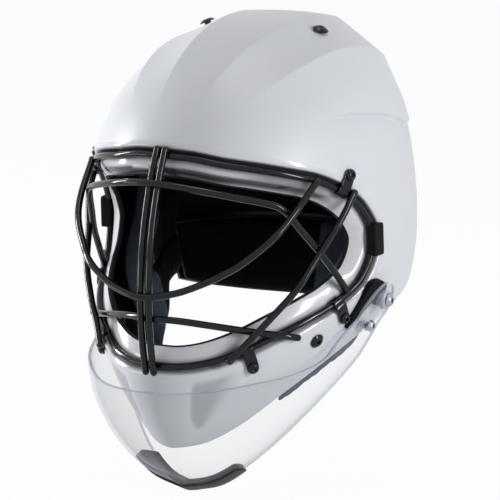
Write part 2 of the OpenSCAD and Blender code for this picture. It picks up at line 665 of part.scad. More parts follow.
// Rubber hinge pad: a teardrop between the shell and the tab, as along and
// across on the tab's own plane
PAD_FORM = [
    [-11.5, -4], [-10, -12.5], [-6, -18.5], [0, -20.5], [12, -19], [20, -18.5], [25, -18], [29.5, -17], [33, -13.5],
    [33, -8], [31, -2], [28, 4], [22, 9], [12, 9.5], [0, 7.5], [-8, 2]
];
pad_middle = [11, -10];
function drop(p, k) = k == 0 ? p : drop(p - tab_out * (p[0] - side_x(p[1], p[2]) - CLEAR), k - 1);
module hinge_pad() {
    n = 28;
    form = concat(PAD_FORM, [PAD_FORM[0]]);
    out = [for (k = [0:n - 1]) spline(form, k / n)];
    function level(f, h) = [for (q = out) let (m = pad_middle + f * (q - pad_middle)) on_tab(m[0], m[1], h)];
    function seat_of(f) = [for (p = level(f, -tab_gap)) drop(p, 6)];
    rings = concat(seat_of(0.3), seat_of(0.65), seat_of(1), level(1, -tab_gap - 1), level(0.95, -tab_gap), level(0.3, -tab_gap));
    module block() {
        polyhedron(rings, concat([[for (k = [0:n - 1]) k]], [[for (k = [n - 1:-1:0]) 5 * n + k]],
            flat1([for (r = [0:4], k = [0:n - 1])
                let (a = r * n + k, b = r * n + (k + 1) % n) quad(a, a + n, b + n, b)])), convexity = 4);
    }
    difference() {
        block();
        for (p = [pivot, guide])
            translate([side_x(p[0], p[1]) - 20, p[0], p[1]]) rotate([0, 90, 0]) cylinder(d = guard_screw_d + 0.1, h = 60);
        // Pocket for the bush
        translate([bush_in - 2 * CLEAR, pivot[0], pivot[1]]) rotate([0, 90, 0]) cylinder(r = bush_r + 0.6, h = 20);
    }
}
module hinge_pads() {
    color([0.05, 0.05, 0.05]) both_sides() hinge_pad();
}

// The pivot turns in a black bush that is fixed in the tab
bush_r = guard_screw_d / 2 + 3.5;
bush_in = tab_x - 0.6;
bush_out = tab_x + guard_t + 3;
head_t = 2.8;
module guard_screw(p, head, seat_x) {
    start = side_x(p[0], p[1]) - 15;
    translate([0, p[0], p[1]]) rotate([0, 90, 0]) {
        translate([0, 0, start]) cylinder(d = guard_screw_d, h = seat_x + 0.5 - start);
        translate([0, 0, seat_x]) intersection() {
            cylinder(r = head, h = head_t);
            translate([0, 0, head_t - 2 * head]) sphere(r = 2 * head);
        }
    }
}
module pivot_screws() {
    color([0.55, 0.56, 0.58]) both_sides() guard_screw(pivot, 5, bush_out + CLEAR);
}
module guide_screws() {
    color([0.55, 0.56, 0.58]) both_sides() guard_screw(guide, 4.5, guide_x + guard_t / tab_out[0] + 2);
}
module pivot_bushes() {
    color([0.08, 0.08, 0.09]) both_sides() translate([bush_in, pivot[0], pivot[1]]) rotate([0, 90, 0]) difference() {
        cylinder(r = bush_r, h = bush_out - bush_in);
        translate([0, 0, -1]) cylinder(r = guard_screw_d / 2 + pivot_clear, h = bush_out);
    }
}
module guard_nuts() {
    color([0.6, 0.6, 0.62]) both_sides() for (p = [pivot, guide])
        translate([side_x(p[0], p[1]) - 13, p[0], p[1]]) rotate([0, 90, 0]) difference() {
            cylinder(r = 5, h = 4, $fn = 6);
            translate([0, 0, -1]) cylinder(d = guard_screw_d + 0.1, h = 6);
        }
}

// Throat guard: a scoop of clear sheet between an upper and a lower edge, from
// the middle round to a flat tab at each side
GUARD_TOP = [
    each fitted([[0, -172, -95], [26, -166, -95], [49, -149, -94], [69, -126, -91], [84, -103, -88]]), on_tab(63, -25, guard_t),
    on_tab(43, -20.5, guard_t), on_tab(24, -15, guard_t)
];
GUARD_LOW = [
    each fitted([[0, -101, -182], [22, -97, -175], [42, -86, -162], [61, -74, -143], [77, -62, -124], [90, -49, -106]]),
    on_tab(44, 13, guard_t), on_tab(24, 12, guard_t)
];
function guard_skin(u, v) =
    let (
        s = abs(u),
        a = spline(GUARD_TOP, s),
        b = spline(GUARD_LOW, s),
        p = lerp(a, b, v),
        swell = guard_swell * 4 * v * (1 - v) * pow(1 - s * s, 2),
        q = p + swell * unit([p[0] * 1.2, p[1] + 60, p[2] + 110])
    )
    u < 0 ? mirror_x(q) : q;
function guard_out(u, v) =
    let (
        c = clamp(u, -0.999, 0.999),
        g = cross(guard_skin(c + 0.001, v) - guard_skin(c - 0.001, v),
            guard_skin(c, max(v - 0.02, 0)) - guard_skin(c, min(v + 0.02, 1))),
        n = unit(g),
        k = smooth((abs(u) - 0.8) / 0.2)
    )
    unit(n * (1 - k) + (u < 0 ? mirror_x(tab_out) : tab_out) * k);
guard_swell = 16;
guard_nu = 48;
guard_nv = 7;
module guard_scoop() {
    row = 2 * (guard_nv + 1);
    points = [
        for (i = [0:guard_nu]) let (u = 2 * i / guard_nu - 1) each concat(
            [for (j = [0:guard_nv]) guard_skin(u, j / guard_nv)],
            [for (j = [guard_nv:-1:0]) guard_skin(u, j / guard_nv) - guard_t * guard_out(u, j / guard_nv)])
    ];
    polyhedron(points, concat(
        flat1([for (i = [0:guard_nu - 1], j = [0:row - 1])
            let (a = i * row + j, b = i * row + (j + 1) % row) quad(a, a + row, b + row, b)]),
        flat1([for (j = [0:guard_nv - 1]) quad(j, j + 1, row - 2 - j, row - 1 - j)]),
        flat1([for (j = [0:guard_nv - 1]) let (c = guard_nu * row) quad(c + j, c + row - 1 - j, c + row - 2 - j, c + j + 1)])
    ), convexity = 6);
}
// The tab's outline, as along and across from the pivot
TAB = [
    [-12, -8], [-7, -12], [2, -15], [13, -16], [24, -15.5], [30, -8], [30, 5], [24, 12.5], [15, 11], [6, 11.5], [-3, 10],
    [-9, 5], [-12.5, 0]
];
module slot_form() {
    for (a = [guide_turn - swing_down - 1, guide_turn + swing_up + 2])
        translate(pivot + guide_r * [cos(a), sin(a)]) circle(r = guard_screw_d / 2 + CLEAR);
    intersection() {
        translate(pivot) difference() {
            circle(r = guide_r + guard_screw_d / 2 + CLEAR, $fn = 180);
            circle(r = guide_r - guard_screw_d / 2 - CLEAR, $fn = 180);
        }
        polygon([pivot, pivot + 2 * guide_r * [cos(guide_turn - swing_down - 1), sin(guide_turn - swing_down - 1)],
            pivot + 2 * guide_r * [cos(guide_turn + swing_up + 2), sin(guide_turn + swing_up + 2)]]);
    }
}
module guard_tab() {
    multmatrix([
        [tab_along[0], tab_across[0], tab_out[0], tab_origin[0]],
        [tab_along[1], tab_across[1], tab_out[1], tab_origin[1]],
        [tab_along[2], tab_across[2], tab_out[2], tab_origin[2]],
        [0, 0, 0, 1]
    ]) linear_extrude(guard_t) polygon([for (k = [0:51]) spline(concat(TAB, [TAB[0]]), k / 52)]);
}
module throat_guard() {
    color([0.8, 0.84, 0.86, 0.5]) difference() {
        union() {
            guard_scoop();
            both_sides() guard_tab();
        }
        both_sides() {
            translate([tab_x - 35, 0, 0]) rotate([90, 0, 90]) linear_extrude(60) slot_form();
            translate([tab_x - 35, pivot[0], pivot[1]]) rotate([0, 90, 0]) cylinder(r = bush_r + 0.05, h = 60);
        }
    }
}
// Soft channel pressed on the lower edge of the guard
trim_reach = 0.26;
module guard_trim() {
    n = 28;
    skin_t = 1.7;
    function section(u) =
        let (
            e = guard_skin(u, 1),
            w = norm(guard_skin(u, 0) - e),
            a = guard_out(u, 1),
            v1 = 1 - trim_w / w,
            v2 = 1 - trim_w / w / 2,
            p1 = guard_skin(u, v1),
            p2 = guard_skin(u, v2),
            down = unit(e - p2)
        )
        [
            p1 + skin_t * guard_out(u, v1), p2 + skin_t * guard_out(u, v2), e + skin_t * a + 0.5 * down,
            e + skin_t * down, e - guard_t * a + skin_t * down, e - (guard_t + skin_t) * a,
            p2 - (guard_t + skin_t) * guard_out(u, v2), p1 - (guard_t + skin_t) * guard_out(u, v1),
            p1 - (guard_t + 0.1) * guard_out(u, v1), p2 - (guard_t + 0.15) * guard_out(u, v2),
            e - (guard_t + 0.1) * a + 0.1 * down, e + 0.1 * a + 0.1 * down,
            p2 + 0.15 * guard_out(u, v2), p1 + 0.1 * guard_out(u, v1)
        ];
    m = 14;
    points = [for (i = [0:n]) each section(trim_reach * (2 * i / n - 1))];
    cap = [[0, 1, 12, 13], [1, 2, 11, 12], [2, 3, 11], [3, 4, 10, 11], [4, 5, 10], [5, 6, 9, 10], [6, 7, 8, 9]];
    color([0.2, 0.2, 0.21]) polyhedron(points, concat(
        flat1([for (i = [0:n - 1], j = [0:m - 1])
            let (a = i * m + j, b = i * m + (j + 1) % m) quad(a, a + m, b + m, b)]),
        cap,
        [for (f = cap) [for (k = [len(f) - 1:-1:0]) n * m + f[k]]]
    ), convexity = 6);
}

// Back plate at the nape. It hangs on two short pins behind its upper edge.
plate_depth = 12;
plate_turns = [110, 250];
plate_top = -0.13;
hinge_z = -18;
hinge_x = 24;
knuckle_w = 9;
knuckle_r = plate_pin_d / 2 + 1.5;
hinge_y = skin_point(180 - asin(hinge_x / half_w(hinge_z / 100)), hinge_z / 100)[1] - plate_depth + knuckle_r - 0.4;
plate_low = function(t) -plate_drop / 100 + 0.1 * pow(abs(t - 180) / 70, 3);
plate_high = function(t) plate_top;
module back_plate() {
    color([0.12, 0.12, 0.13]) difference() {
        union() {
            pad(plate_turns, plate_low, plate_high, plate_depth, plate_t, 22, 7, 1);
            both_sides() translate([hinge_x - knuckle_w / 2, hinge_y, hinge_z]) rotate([0, 90, 0])
                cylinder(r = knuckle_r, h = knuckle_w);
        }
        both_sides() translate([hinge_x - knuckle_w, hinge_y, hinge_z]) rotate([0, 90, 0])
            cylinder(r = plate_pin_d / 2 + pivot_clear, h = 2 * knuckle_w);
        // Notches in the upper edge for the brackets
        both_sides() for (x = bracket_at)
            translate([x - 2 * CLEAR, hinge_y - 50, hinge_z - knuckle_r - 2]) cube([bracket_t + 4 * CLEAR, 80, 20]);
    }
}
module back_pad() {
    color(foam) pad(plate_turns + [2, -2], function(t) plate_low(t) - 0.01, function(t) plate_high(t) - 0.04,
        plate_depth + plate_t + CLEAR / 2, plate_pad_t, 20, 6);
}
bracket_t = 3;
bracket_at = [hinge_x - knuckle_w / 2 - CLEAR - bracket_t, hinge_x + knuckle_w / 2 + CLEAR];
module plate_pins() {
    color([0.6, 0.6, 0.62]) both_sides() translate([bracket_at[0], hinge_y, hinge_z]) rotate([0, 90, 0])
        cylinder(d = plate_pin_d, h = bracket_at[1] + bracket_t - bracket_at[0]);
}
module plate_brackets() {
    color([0.12, 0.12, 0.13]) both_sides() for (x = bracket_at) {
        wall_y = skin(180 - asin((x + bracket_t) / half_w(hinge_z / 100)), hinge_z / 100, wall + CLEAR)[1] - 0.6;
        difference() {
            hull() {
                translate([x, hinge_y, hinge_z]) rotate([0, 90, 0]) cylinder(r = knuckle_r, h = bracket_t, $fn = 32);
                translate([x, wall_y - 1.5, hinge_z - 6]) cube([bracket_t, 1.5, 14]);
            }
            translate([x - 1, hinge_y, hinge_z]) rotate([0, 90, 0]) cylinder(d = plate_pin_d, h = bracket_t + 2);
        }
    }
}

outer_shell();
cage_rim();
cage_u_bar();
cage_brow_bar();
cage_diagonal_left();
cage_diagonal_right();
cage_lower_bar();
cage_centre_bars();
cage_clips();
clip_screws();
clip_nuts();
rim_buffers();
crown_pad();
brow_pad();
rear_pad();
side_pad_left();
side_pad_right();
jaw_pad_left();
jaw_pad_right();
chin_pad();
crown_screws();
crown_nuts();
jaw_screws();
jaw_nuts();
hinge_pads();
pivot_screws();
guide_screws();
guard_nuts();
throat_guard();
pivot_bushes();
guard_trim();
back_plate();
back_pad();
plate_pins();
plate_brackets();
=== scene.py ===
"""Field hockey goalkeeper helmet: its finished surfaces, laid out as an add-on.

Every piece is worked out in millimetres in the helmet's own frame (face along -Y,
crown along +Z, the wearer's left along +X) and put into its mesh in metres.
"""
import math

import bmesh
import bpy
import numpy as np
from mathutils import Matrix, Vector


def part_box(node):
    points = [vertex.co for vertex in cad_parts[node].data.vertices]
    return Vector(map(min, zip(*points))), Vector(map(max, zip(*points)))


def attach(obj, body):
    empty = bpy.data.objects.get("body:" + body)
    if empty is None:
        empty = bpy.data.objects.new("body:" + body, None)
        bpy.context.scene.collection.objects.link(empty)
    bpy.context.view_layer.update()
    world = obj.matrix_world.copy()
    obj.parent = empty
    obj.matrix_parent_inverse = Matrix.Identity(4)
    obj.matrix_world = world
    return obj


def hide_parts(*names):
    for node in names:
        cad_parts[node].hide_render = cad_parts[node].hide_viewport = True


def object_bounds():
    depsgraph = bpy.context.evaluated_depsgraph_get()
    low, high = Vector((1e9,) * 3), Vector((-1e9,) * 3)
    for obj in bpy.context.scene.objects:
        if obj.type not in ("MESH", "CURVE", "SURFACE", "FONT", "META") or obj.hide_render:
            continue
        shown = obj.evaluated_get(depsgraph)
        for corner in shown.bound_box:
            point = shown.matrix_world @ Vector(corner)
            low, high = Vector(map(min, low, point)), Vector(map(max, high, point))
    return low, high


bl_info = {
    "name": "Goalkeeper helmet",
    "version": (1, 0, 0),
    "blender": (4, 5, 0),
    "location": "3D View > Sidebar > Helmet",
    "description": "Builds the finished surfaces of a field hockey goalkeeper helmet",
    "category": "Add Mesh",
}

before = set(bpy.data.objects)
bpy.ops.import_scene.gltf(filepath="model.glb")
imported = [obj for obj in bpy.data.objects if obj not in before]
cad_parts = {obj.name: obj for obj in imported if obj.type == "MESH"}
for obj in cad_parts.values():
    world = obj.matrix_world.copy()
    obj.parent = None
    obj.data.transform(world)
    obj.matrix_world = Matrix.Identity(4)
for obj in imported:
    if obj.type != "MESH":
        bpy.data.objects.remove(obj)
cad_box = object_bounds()

MIRROR = np.array([-1.0, 1.0, 1.0])


# Curves and surfaces


def unit(v):
    """Vectors along the last axis, each divided by its length."""
    return v / np.maximum(np.linalg.norm(v, axis=-1, keepdims=True), 1e-12)


def smooth(k):
    """The smooth step 3k^2 - 2k^3, with k kept from 0 to 1."""
    k = np.clip(k, 0, 1)
    return k * k * (3 - 2 * k)


def dome(k, power):
    """1 in the middle of 0 to 1 and 0 at both ends: 1 less |2k - 1| to a power."""
    return np.maximum(1 - np.abs(2 * k - 1) ** power, 0)


def spline(points, s):
    """A Catmull-Rom curve through the points, read at s from 0 to 1."""
    p = np.asarray(points, float)
    p = p[:, None] if p.ndim == 1 else p
    n = len(p) - 1
    x = np.clip(np.asarray(s, float) * n, 0, n)
    i = np.minimum(x.astype(int), n - 1)
    f = (x - i)[..., None]
    q = np.vstack([2 * p[0] - p[1], p, 2 * p[-1] - p[-2]])
    a, b, c, d = q[i], q[i + 1], q[i + 2], q[i + 3]
    squared, cubed = 2 * a - 5 * b + 4 * c - d, 3 * b - a - 3 * c + d
    return 0.5 * (2 * b + (c - a) * f + squared * f**2 + cubed * f**3)


def refined(rows, count):
    """Rows of points, joined by a spline across them and read again as `count` rows."""
    rows = np.stack(rows)
    return spline(rows.reshape(len(rows), -1), np.linspace(0, 1, count)).reshape(count, -1, 3)


def mirror_image(patches):
    """The patches' mirror images across the plane X = 0."""
    return [(p * MIRROR, m) for p, m in patches]


def mirrored(patches):
    """The patches with their mirror images."""
    return list(patches) + mirror_image(patches)


def both_ways(points):
    """Half a route from the middle outward, made whole with its mirror image."""
    p = np.asarray(points, float)
    return np.vstack([p[:0:-1] * MIRROR, p])


def to_side(side):
    """The factors (side, 1, 1), which carry a left-hand vector to its own side."""
    one = np.ones_like(side)
    return np.stack([side, one, one], -1)


class Skin:
    """The helmet's outer surface and the rim of its face opening.

    A point has a turn t, an angle in degrees from the front toward the wearer's
    left, and a rise w, 0 at the ears and 1 at the crown, falling by 1 for each
    100 mm below the ears. Above the ears every section is an ellipse whose size
    falls with cos(90w) to the power 2/2.44, and whose centre leans back with
    sin(90w) squared.
    """

    # Power of the crown's rounding, and the height in mm of 1 of rise below the ears
    ROUND, DROP = 2.44, 100
    # What the sides and the nape draw in by below the ears, and the chin beyond its rise
    WAIST, NAPE, CHIN, CHIN_RISE = 0.28, 0.2, 52.6, 0.75
    # Within this of stations 0 and 1 the rim's axes have no sideways part
    MEET = 0.004

    # The cat-eye rim of the opening: turn and height, from the brow down to the chin
    LEFT_RIM = [
        (0, 70), (12, 69), (24, 65), (36, 61), (47, 56), (57, 50), (66, 40), (74, 25), (79, 2),
        (75, -26), (66, -42), (56, -52), (46, -61), (36, -70), (24, -77), (12, -80), (0, -80),
    ]

    def __init__(self):
        p, finish = bpy.context.scene.helmet_shell, bpy.context.scene.helmet_finish
        self.half, self.fore, self.aft = p.half_width * 1000, p.front_reach * 1000, p.back_reach * 1000
        self.crown, self.shift, self.wall = p.crown_height * 1000, p.crown_shift * 1000, p.wall * 1000
        self.flutes, self.scoops = p.flute_depth * 1000, p.scoop_depth * 1000
        self.wire = finish.wire * 500

    def squeeze(self, w):
        """Size of a section as a share of the one at the ears: cos(90w) to the power 2/2.44."""
        above = np.abs(np.cos(np.pi / 2 * np.clip(w, 0, 1))) ** (2 / self.ROUND)
        return np.where(w > 0, above, 1.0)

    def half_w(self, w):
        """Half the width, which draws in below the ears by a share of w squared."""
        return self.half * np.where(w > 0, self.squeeze(w), 1 - self.WAIST * w * w)

    def front(self, w):
        """Reach to the front, which draws in under the chin with the square of the depth."""
        return self.fore * self.squeeze(w) - self.CHIN * np.maximum(-w - self.CHIN_RISE, 0) ** 2

    def back(self, w):
        """Reach to the back, which draws in at the nape by a share of w squared."""
        return self.aft * np.where(w > 0, self.squeeze(w), 1 - self.NAPE * w * w)

    def lean(self, w):
        """How far a section's centre lies behind the ears: the shift times sin(90w) squared."""
        return np.where(w > 0, self.shift * np.sin(np.pi / 2 * np.clip(w, 0, 1)) ** 2, 0.0)

    def height(self, w):
        """Height of a rise: the crown's height times sin(90w) to the power 2/2.44."""
        above = self.crown * np.abs(np.sin(np.pi / 2 * np.clip(w, 0, 1.01))) ** (2 / self.ROUND)
        return np.where(w > 0, above, self.DROP * w)

    def rise(self, z):
        """The rise of a height, the other way round."""
        up = np.clip(z / self.crown, 0, 1) ** (self.ROUND / 2)
        return np.where(z > 0, np.degrees(np.arcsin(up)) / 90, z / self.DROP)

    def point(self, t, w):
        """A point of the surface: the section's ellipse at the turn."""
        t, w = np.broadcast_arrays(np.radians(t), np.asarray(w, float))
        reach = np.where(np.cos(t) > 0, self.front(w), self.back(w))
        return np.stack([self.half_w(w) * np.sin(t), self.lean(w) - reach * np.cos(t), self.height(w)], -1)

    def outward(self, t, w):
        """The outward normal, from steps along the turn and the rise, and straight up at the crown."""
        w = np.asarray(w, float)
        along = self.point(t + 0.5, w) - self.point(t - 0.5, w)
        up = self.point(t, w + 0.004) - self.point(t, w - 0.004)
        n = unit(np.cross(along, up))
        k = smooth((w - 0.93) / 0.055)[..., None]
        return unit(n * (1 - k) + np.array([0, 0, 1.0]) * k)

    def at(self, t, w, depth):
        """A point at a depth below the surface."""
        t, w = np.broadcast_arrays(np.asarray(t, float), np.asarray(w, float))
        return self.point(t, w) - self.outward(t, w) * np.asarray(depth, float)[..., None]

    def turn(self, p, w):
        """The turn of a point whose rise is known."""
        y = p[..., 1] - self.lean(w)
        reach = np.where(y < 0, self.front(w), self.back(w))
        return np.degrees(np.arctan2(p[..., 0] / self.half_w(w), -y / reach))

    def side_x(self, y, z):
        """Half the shell's width at a place seen from the side."""
        w = self.rise(z)
        d = (y - self.lean(w)) / np.where(y < self.lean(w), self.front(w), self.back(w))
        return self.half_w(w) * np.sqrt(np.maximum(0, 1 - d * d))

    def rim_on_skin(self, s):
        """The rim on the surface at station s, from 0 at the brow to 1 at the chin, or to -1 on the right."""
        q = spline(self.LEFT_RIM, np.abs(s))
        return self.point(q[..., 0] * np.where(s < 0, -1, 1), self.rise(q[..., 1]))

    def rim_axes(self, s):
        """At station s of the rim: the direction out of the opening, and out of the shell."""
        s = np.asarray(s, float)
        c = np.clip(np.abs(s), self.MEET, 1 - self.MEET)
        q = spline(self.LEFT_RIM, c)
        n = self.outward(q[..., 0], self.rise(q[..., 1]))
        o = unit(np.cross(n, unit(self.rim_on_skin(c + 0.004) - self.rim_on_skin(c - 0.004))))
        flip = to_side(np.where(np.abs(s) == c, np.where(s < 0, -1, 1), 0))
        return unit(o * flip), unit(n * flip)

    def rim(self, s, out, depth):
        """A point `out` mm out of the opening and `depth` mm below the surface."""
        s, out, depth = (np.asarray(value, float) for value in (s, out, depth))
        o, n = self.rim_axes(s)
        return self.rim_on_skin(s) + o * out[..., None] - n * depth[..., None]

    def at_rim(self, s, out=0.0, depth=0.0):
        """A frame on the rim: X out of the opening, Z out of the shell."""
        o, n = self.rim_axes(np.array(s))
        return np.column_stack([o, np.cross(n, o), n, self.rim(np.array(s), np.array(out), np.array(depth))])

    def at_skin(self, t, w, depth=0.0):
        """A frame on the surface, with Z out of the shell."""
        t, w = np.array(float(t)), np.array(float(w))
        n = self.outward(t, w)
        x = unit(np.cross([0, 1, 0.2], n))
        return np.column_stack([x, np.cross(n, x), n, self.at(t, w, np.array(depth))])


def facing_left(x, place):
    """A frame at a place seen from the side, with its Z along +X."""
    return np.column_stack([[0, 1, 0], [0, 0, 1], [1, 0, 0], [x, *place]])


def placed(points, place):
    """Points in a frame's own axes, moved to where the frame is."""
    return points @ place[:, :3].T + place[:, 3]


def tube(path, radius, closed=False, sides=20):
    """A round wire: circles of the given radius square to the path, with domed ends.

    A domed end is four more circles whose radius falls as cos(a) while they
    move along the path by radius times sin(a).
    """
    p = np.asarray(path, float)
    step = np.roll(p, -1, 0) - np.roll(p, 1, 0) if closed else np.gradient(p, axis=0)
    d = unit(step)
    r = np.full(len(p), float(radius))
    if not closed:
        a = np.radians([90, 67.5, 45, 22.5])
        head = p[0] - d[0] * radius * np.sin(a)[:, None]
        tail = p[-1] + d[-1] * radius * np.sin(a[::-1])[:, None]
        p = np.vstack([head, p, tail])
        d = np.vstack([np.repeat(d[:1], 4, 0), d, np.repeat(d[-1:], 4, 0)])
        r = np.concatenate([radius * np.cos(a), r, radius * np.cos(a[::-1])])
    guide = unit(p * [0.3, 1, 0] + [0, 0, 0.2])
    u = unit(guide - d * (guide * d).sum(-1, keepdims=True))
    v = np.cross(d, u)
    k = np.linspace(0, 2 * np.pi, sides + 1)[None, :, None]
    ring = p[:, None] + r[:, None, None] * (np.cos(k) * u[:, None] + np.sin(k) * v[:, None])
    return np.vstack([ring, ring[:1]]) if closed else ring


def turned(profile, place, sides=40, hexed=None):
    """A profile of radius and height turned about the frame's Z.

    `hexed` gives each row's share of hexagon, from 0 for round to 1 for six flats.
    """
    p = np.asarray(profile, float)
    k = np.linspace(0, 2 * np.pi, sides + 1)
    flat = np.cos(np.pi / 6) / np.cos(np.mod(k, np.pi / 3) - np.pi / 6)
    h = np.zeros(len(p)) if hexed is None else np.asarray(hexed, float)
    r = p[:, :1] * (1 - h[:, None] + h[:, None] * flat[None])
    local = np.stack([r * np.cos(k), r * np.sin(k), np.broadcast_to(p[:, 1:], r.shape)], -1)
    return placed(local, place)


def domed_screw(place, head, rise, shank, length, socket=1.6, sink=1.3, base=0.0):
    """A screw with a domed head, a six-sided socket and a plain shank.

    The dome's radius falls evenly from the head's to the socket's while its
    height follows a quarter of a sine.
    """
    bottom = [(0, -length), (shank, -length), (shank, base)]
    rim = [(head * 0.96, base), (head, base + 0.25), (head, base + 0.5)]
    k, mouth = np.linspace(0, 1, 9), socket * 1.25
    top = list(zip(head - (head - mouth) * k, base + 0.5 + (rise - 0.5) * np.sin(k * np.pi / 2)))
    crest = base + rise
    floor = crest - sink
    well = [(socket * 1.1, crest + 0.02), (socket, crest - 0.15), (socket, floor), (0, floor - 0.3)]
    round_rows = bottom + rim + top
    return (turned(round_rows + well, place, 48, [0] * len(round_rows) + [0.6, 1, 1, 0]), 0)


def build(name, patches, body, finishes, replaces=(), crease=None):
    """Welds grid patches into one mesh, in metres, and hands the piece to the frame.

    Points that agree to a ten-thousandth of a millimetre become one vertex, and
    a quad that loses a corner becomes a triangle. A patch is a grid of points
    with the number of its finish, and can carry a third entry, a grid of painted
    shade from 0 to 1 that its material reads as darkening.
    """
    points, quads, which, painted_shades, n = [], [], [], [], 0
    for p, m, *tone in patches:
        rows, cols = p.shape[:2]
        i = n + np.arange(rows * cols).reshape(rows, cols)
        q = np.stack([i[:-1, :-1], i[:-1, 1:], i[1:, 1:], i[1:, :-1]], -1).reshape(-1, 4)
        points.append(p.reshape(-1, 3))
        painted_shades.append(np.broadcast_to(tone[0] if tone else 0.0, (rows, cols)).ravel())
        quads.append(q)
        which.append(np.full(len(q), m))
        n += rows * cols
    points, quads, which = np.concatenate(points), np.concatenate(quads), np.concatenate(which)
    grid = np.round(points * 1e4).astype(np.int64)
    _, first, same = np.unique(grid, axis=0, return_index=True, return_inverse=True)
    quads = same.reshape(-1)[quads]
    # Corner k of a quad is lost where it equals corner k + 1
    twin = quads == np.roll(quads, -1, 1)
    lost = twin.sum(1)
    tri = np.where((twin[:, 0] | twin[:, 1])[:, None], quads[:, [0, 2, 3]], quads[:, [0, 1, 2]])
    whole = lost == 0
    keep = (lost == 1) & (tri != np.roll(tri, -1, 1)).all(1)
    mesh = bpy.data.meshes.new(name)
    mesh.from_pydata((points[first] / 1000).tolist(), [], quads[whole].tolist() + tri[keep].tolist())
    mesh.polygons.foreach_set("material_index", np.concatenate([which[whole], which[keep]]).astype(np.int32))
    for finish in finishes:
        mesh.materials.append(FINISH[finish])
    if any(len(patch) > 2 for patch in patches):
        tone = mesh.attributes.new("tone", "FLOAT", "POINT")
        tone.data.foreach_set("value", np.concatenate(painted_shades)[first].astype(np.float32))
    mesh.update()
    bm = bmesh.new()
    bm.from_mesh(mesh)
    bmesh.ops.recalc_face_normals(bm, faces=bm.faces)
    bm.to_mesh(mesh)
    bm.free()
    mesh.polygons.foreach_set("use_smooth", np.ones(len(mesh.polygons), bool))
    if crease:
        mesh.set_sharp_from_angle(angle=math.radians(crease))
    piece = bpy.data.objects.new(name, mesh)
    bpy.context.scene.collection.objects.link(piece)
    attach(piece, body)
    if replaces:
        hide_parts(*replaces)
    return piece


# Finishes


class Amount:
    """A number that varies over a surface. Sums on it become Math nodes."""

    def __init__(self, recipe, socket):
        self.recipe, self.socket = recipe, socket

    def math(self, operation, *values):
        """The result of a Math node on the values."""
        made = self.recipe.node("ShaderNodeMath", {"operation": operation}, values)
        return Amount(self.recipe, made.outputs[0])

    def __add__(self, other):
        return self.math("ADD", self, other)

    def __sub__(self, other):
        return self.math("SUBTRACT", self, other)

    def __rsub__(self, other):
        return self.math("SUBTRACT", other, self)

    def __mul__(self, other):
        return self.math("MULTIPLY", self, other)

    def __pow__(self, other):
        return self.math("POWER", self, other)

    __radd__, __rmul__ = __add__, __mul__

    def sine(self):
        """The sine of the number, taken as radians."""
        return self.math("SINE", self)

    def absolute(self):
        """The number without its sign."""
        return self.math("ABSOLUTE", self)

    def limited(self):
        """The number, kept from 0 to 1."""
        return self.math("MINIMUM", self.math("MAXIMUM", self, 0.0), 1.0)


class Recipe:
    """A procedural material on the piece's Object coordinates."""

    def __init__(self, name, **fixed):
        self.material = bpy.data.materials.new(name)
        self.material.use_nodes = True
        self.tree = self.material.node_tree
        self.tree.nodes.clear()
        self.out = self.node("ShaderNodeOutputMaterial")
        self.shader = self.node("ShaderNodeBsdfPrincipled")
        self.tree.links.new(self.shader.outputs[0], self.out.inputs[0])
        self.place = self.node("ShaderNodeTexCoord").outputs["Object"]
        for key, value in fixed.items():
            self.set(key.replace("_", " "), value)

    def node(self, kind, settings=None, sockets=()):
        """A node of the given type: its settings first, then the values or links of its sockets."""
        made = self.tree.nodes.new(kind)
        for key, value in (settings or {}).items():
            setattr(made, key, value)
        for key, value in sockets.items() if isinstance(sockets, dict) else enumerate(sockets):
            self.join(value, made.inputs[key])
        return made

    def join(self, value, socket):
        """Gives a socket its value, or the link that feeds it."""
        value = value.socket if isinstance(value, Amount) else value
        if isinstance(value, bpy.types.NodeSocket):
            self.tree.links.new(value, socket)
        else:
            socket.default_value = value

    def set(self, name, value):
        """Gives one input of the surface its value."""
        self.join(value, self.shader.inputs[name])

    def noise(self, scale, detail=3.0):
        """Cloudy noise from 0 to 1."""
        sockets = {"Vector": self.place, "Scale": scale, "Detail": detail}
        return Amount(self, self.node("ShaderNodeTexNoise", None, sockets).outputs["Fac"])

    def cells(self, scale):
        """Distance to the middle of the nearest cell."""
        made = self.node("ShaderNodeTexVoronoi", None, {"Vector": self.place, "Scale": scale})
        return Amount(self, made.outputs["Distance"])

    def axes(self):
        """The three coordinates, each as a number."""
        return [Amount(self, o) for o in self.node("ShaderNodeSeparateXYZ", None, [self.place]).outputs]

    def tone(self):
        """The painted shade that the mesh carries, from 0 to 1."""
        return self.node("ShaderNodeAttribute", {"attribute_name": "tone"}).outputs["Fac"]

    def between(self, amount, low, high):
        """A colour between two others, chosen by an amount."""
        low, high = (c if isinstance(c, bpy.types.NodeSocket) else (*c, 1) for c in (low, high))
        return self.node("ShaderNodeMix", {"data_type": "RGBA"}, {0: amount, 6: low, 7: high}).outputs[2]

    def bump(self, height, strength, distance):
        """A fine relief in the surface's normal."""
        sockets = {"Height": height, "Strength": strength, "Distance": distance}
        self.set("Normal", self.node("ShaderNodeBump", None, sockets).outputs[0])


FINISH = {}


def satin_shell():
    """Pale moulded shell: a satin coat with a faint cloudiness and a fine peel, darkened toward 0.3 of its
    colour by painted shade in the chin's recesses.
    """
    r = Recipe("Satin_Shell", Specular_IOR_Level=0.45)
    colour = Vector(bpy.context.scene.helmet_finish.shell_colour)
    pale = r.between(r.noise(9.0, 2.0), colour * 0.975, colour * 1.015)
    # Painted shade: the mesh's value darkens the colour in the recesses at each side of the chin
    r.set("Base Color", r.between(r.tone(), pale, colour * 0.3))
    r.set("Roughness", r.noise(60.0, 2.0) * 0.08 + 0.36)
    r.bump(r.noise(900.0, 2.0), 0.08, 0.0004)
    return r.material


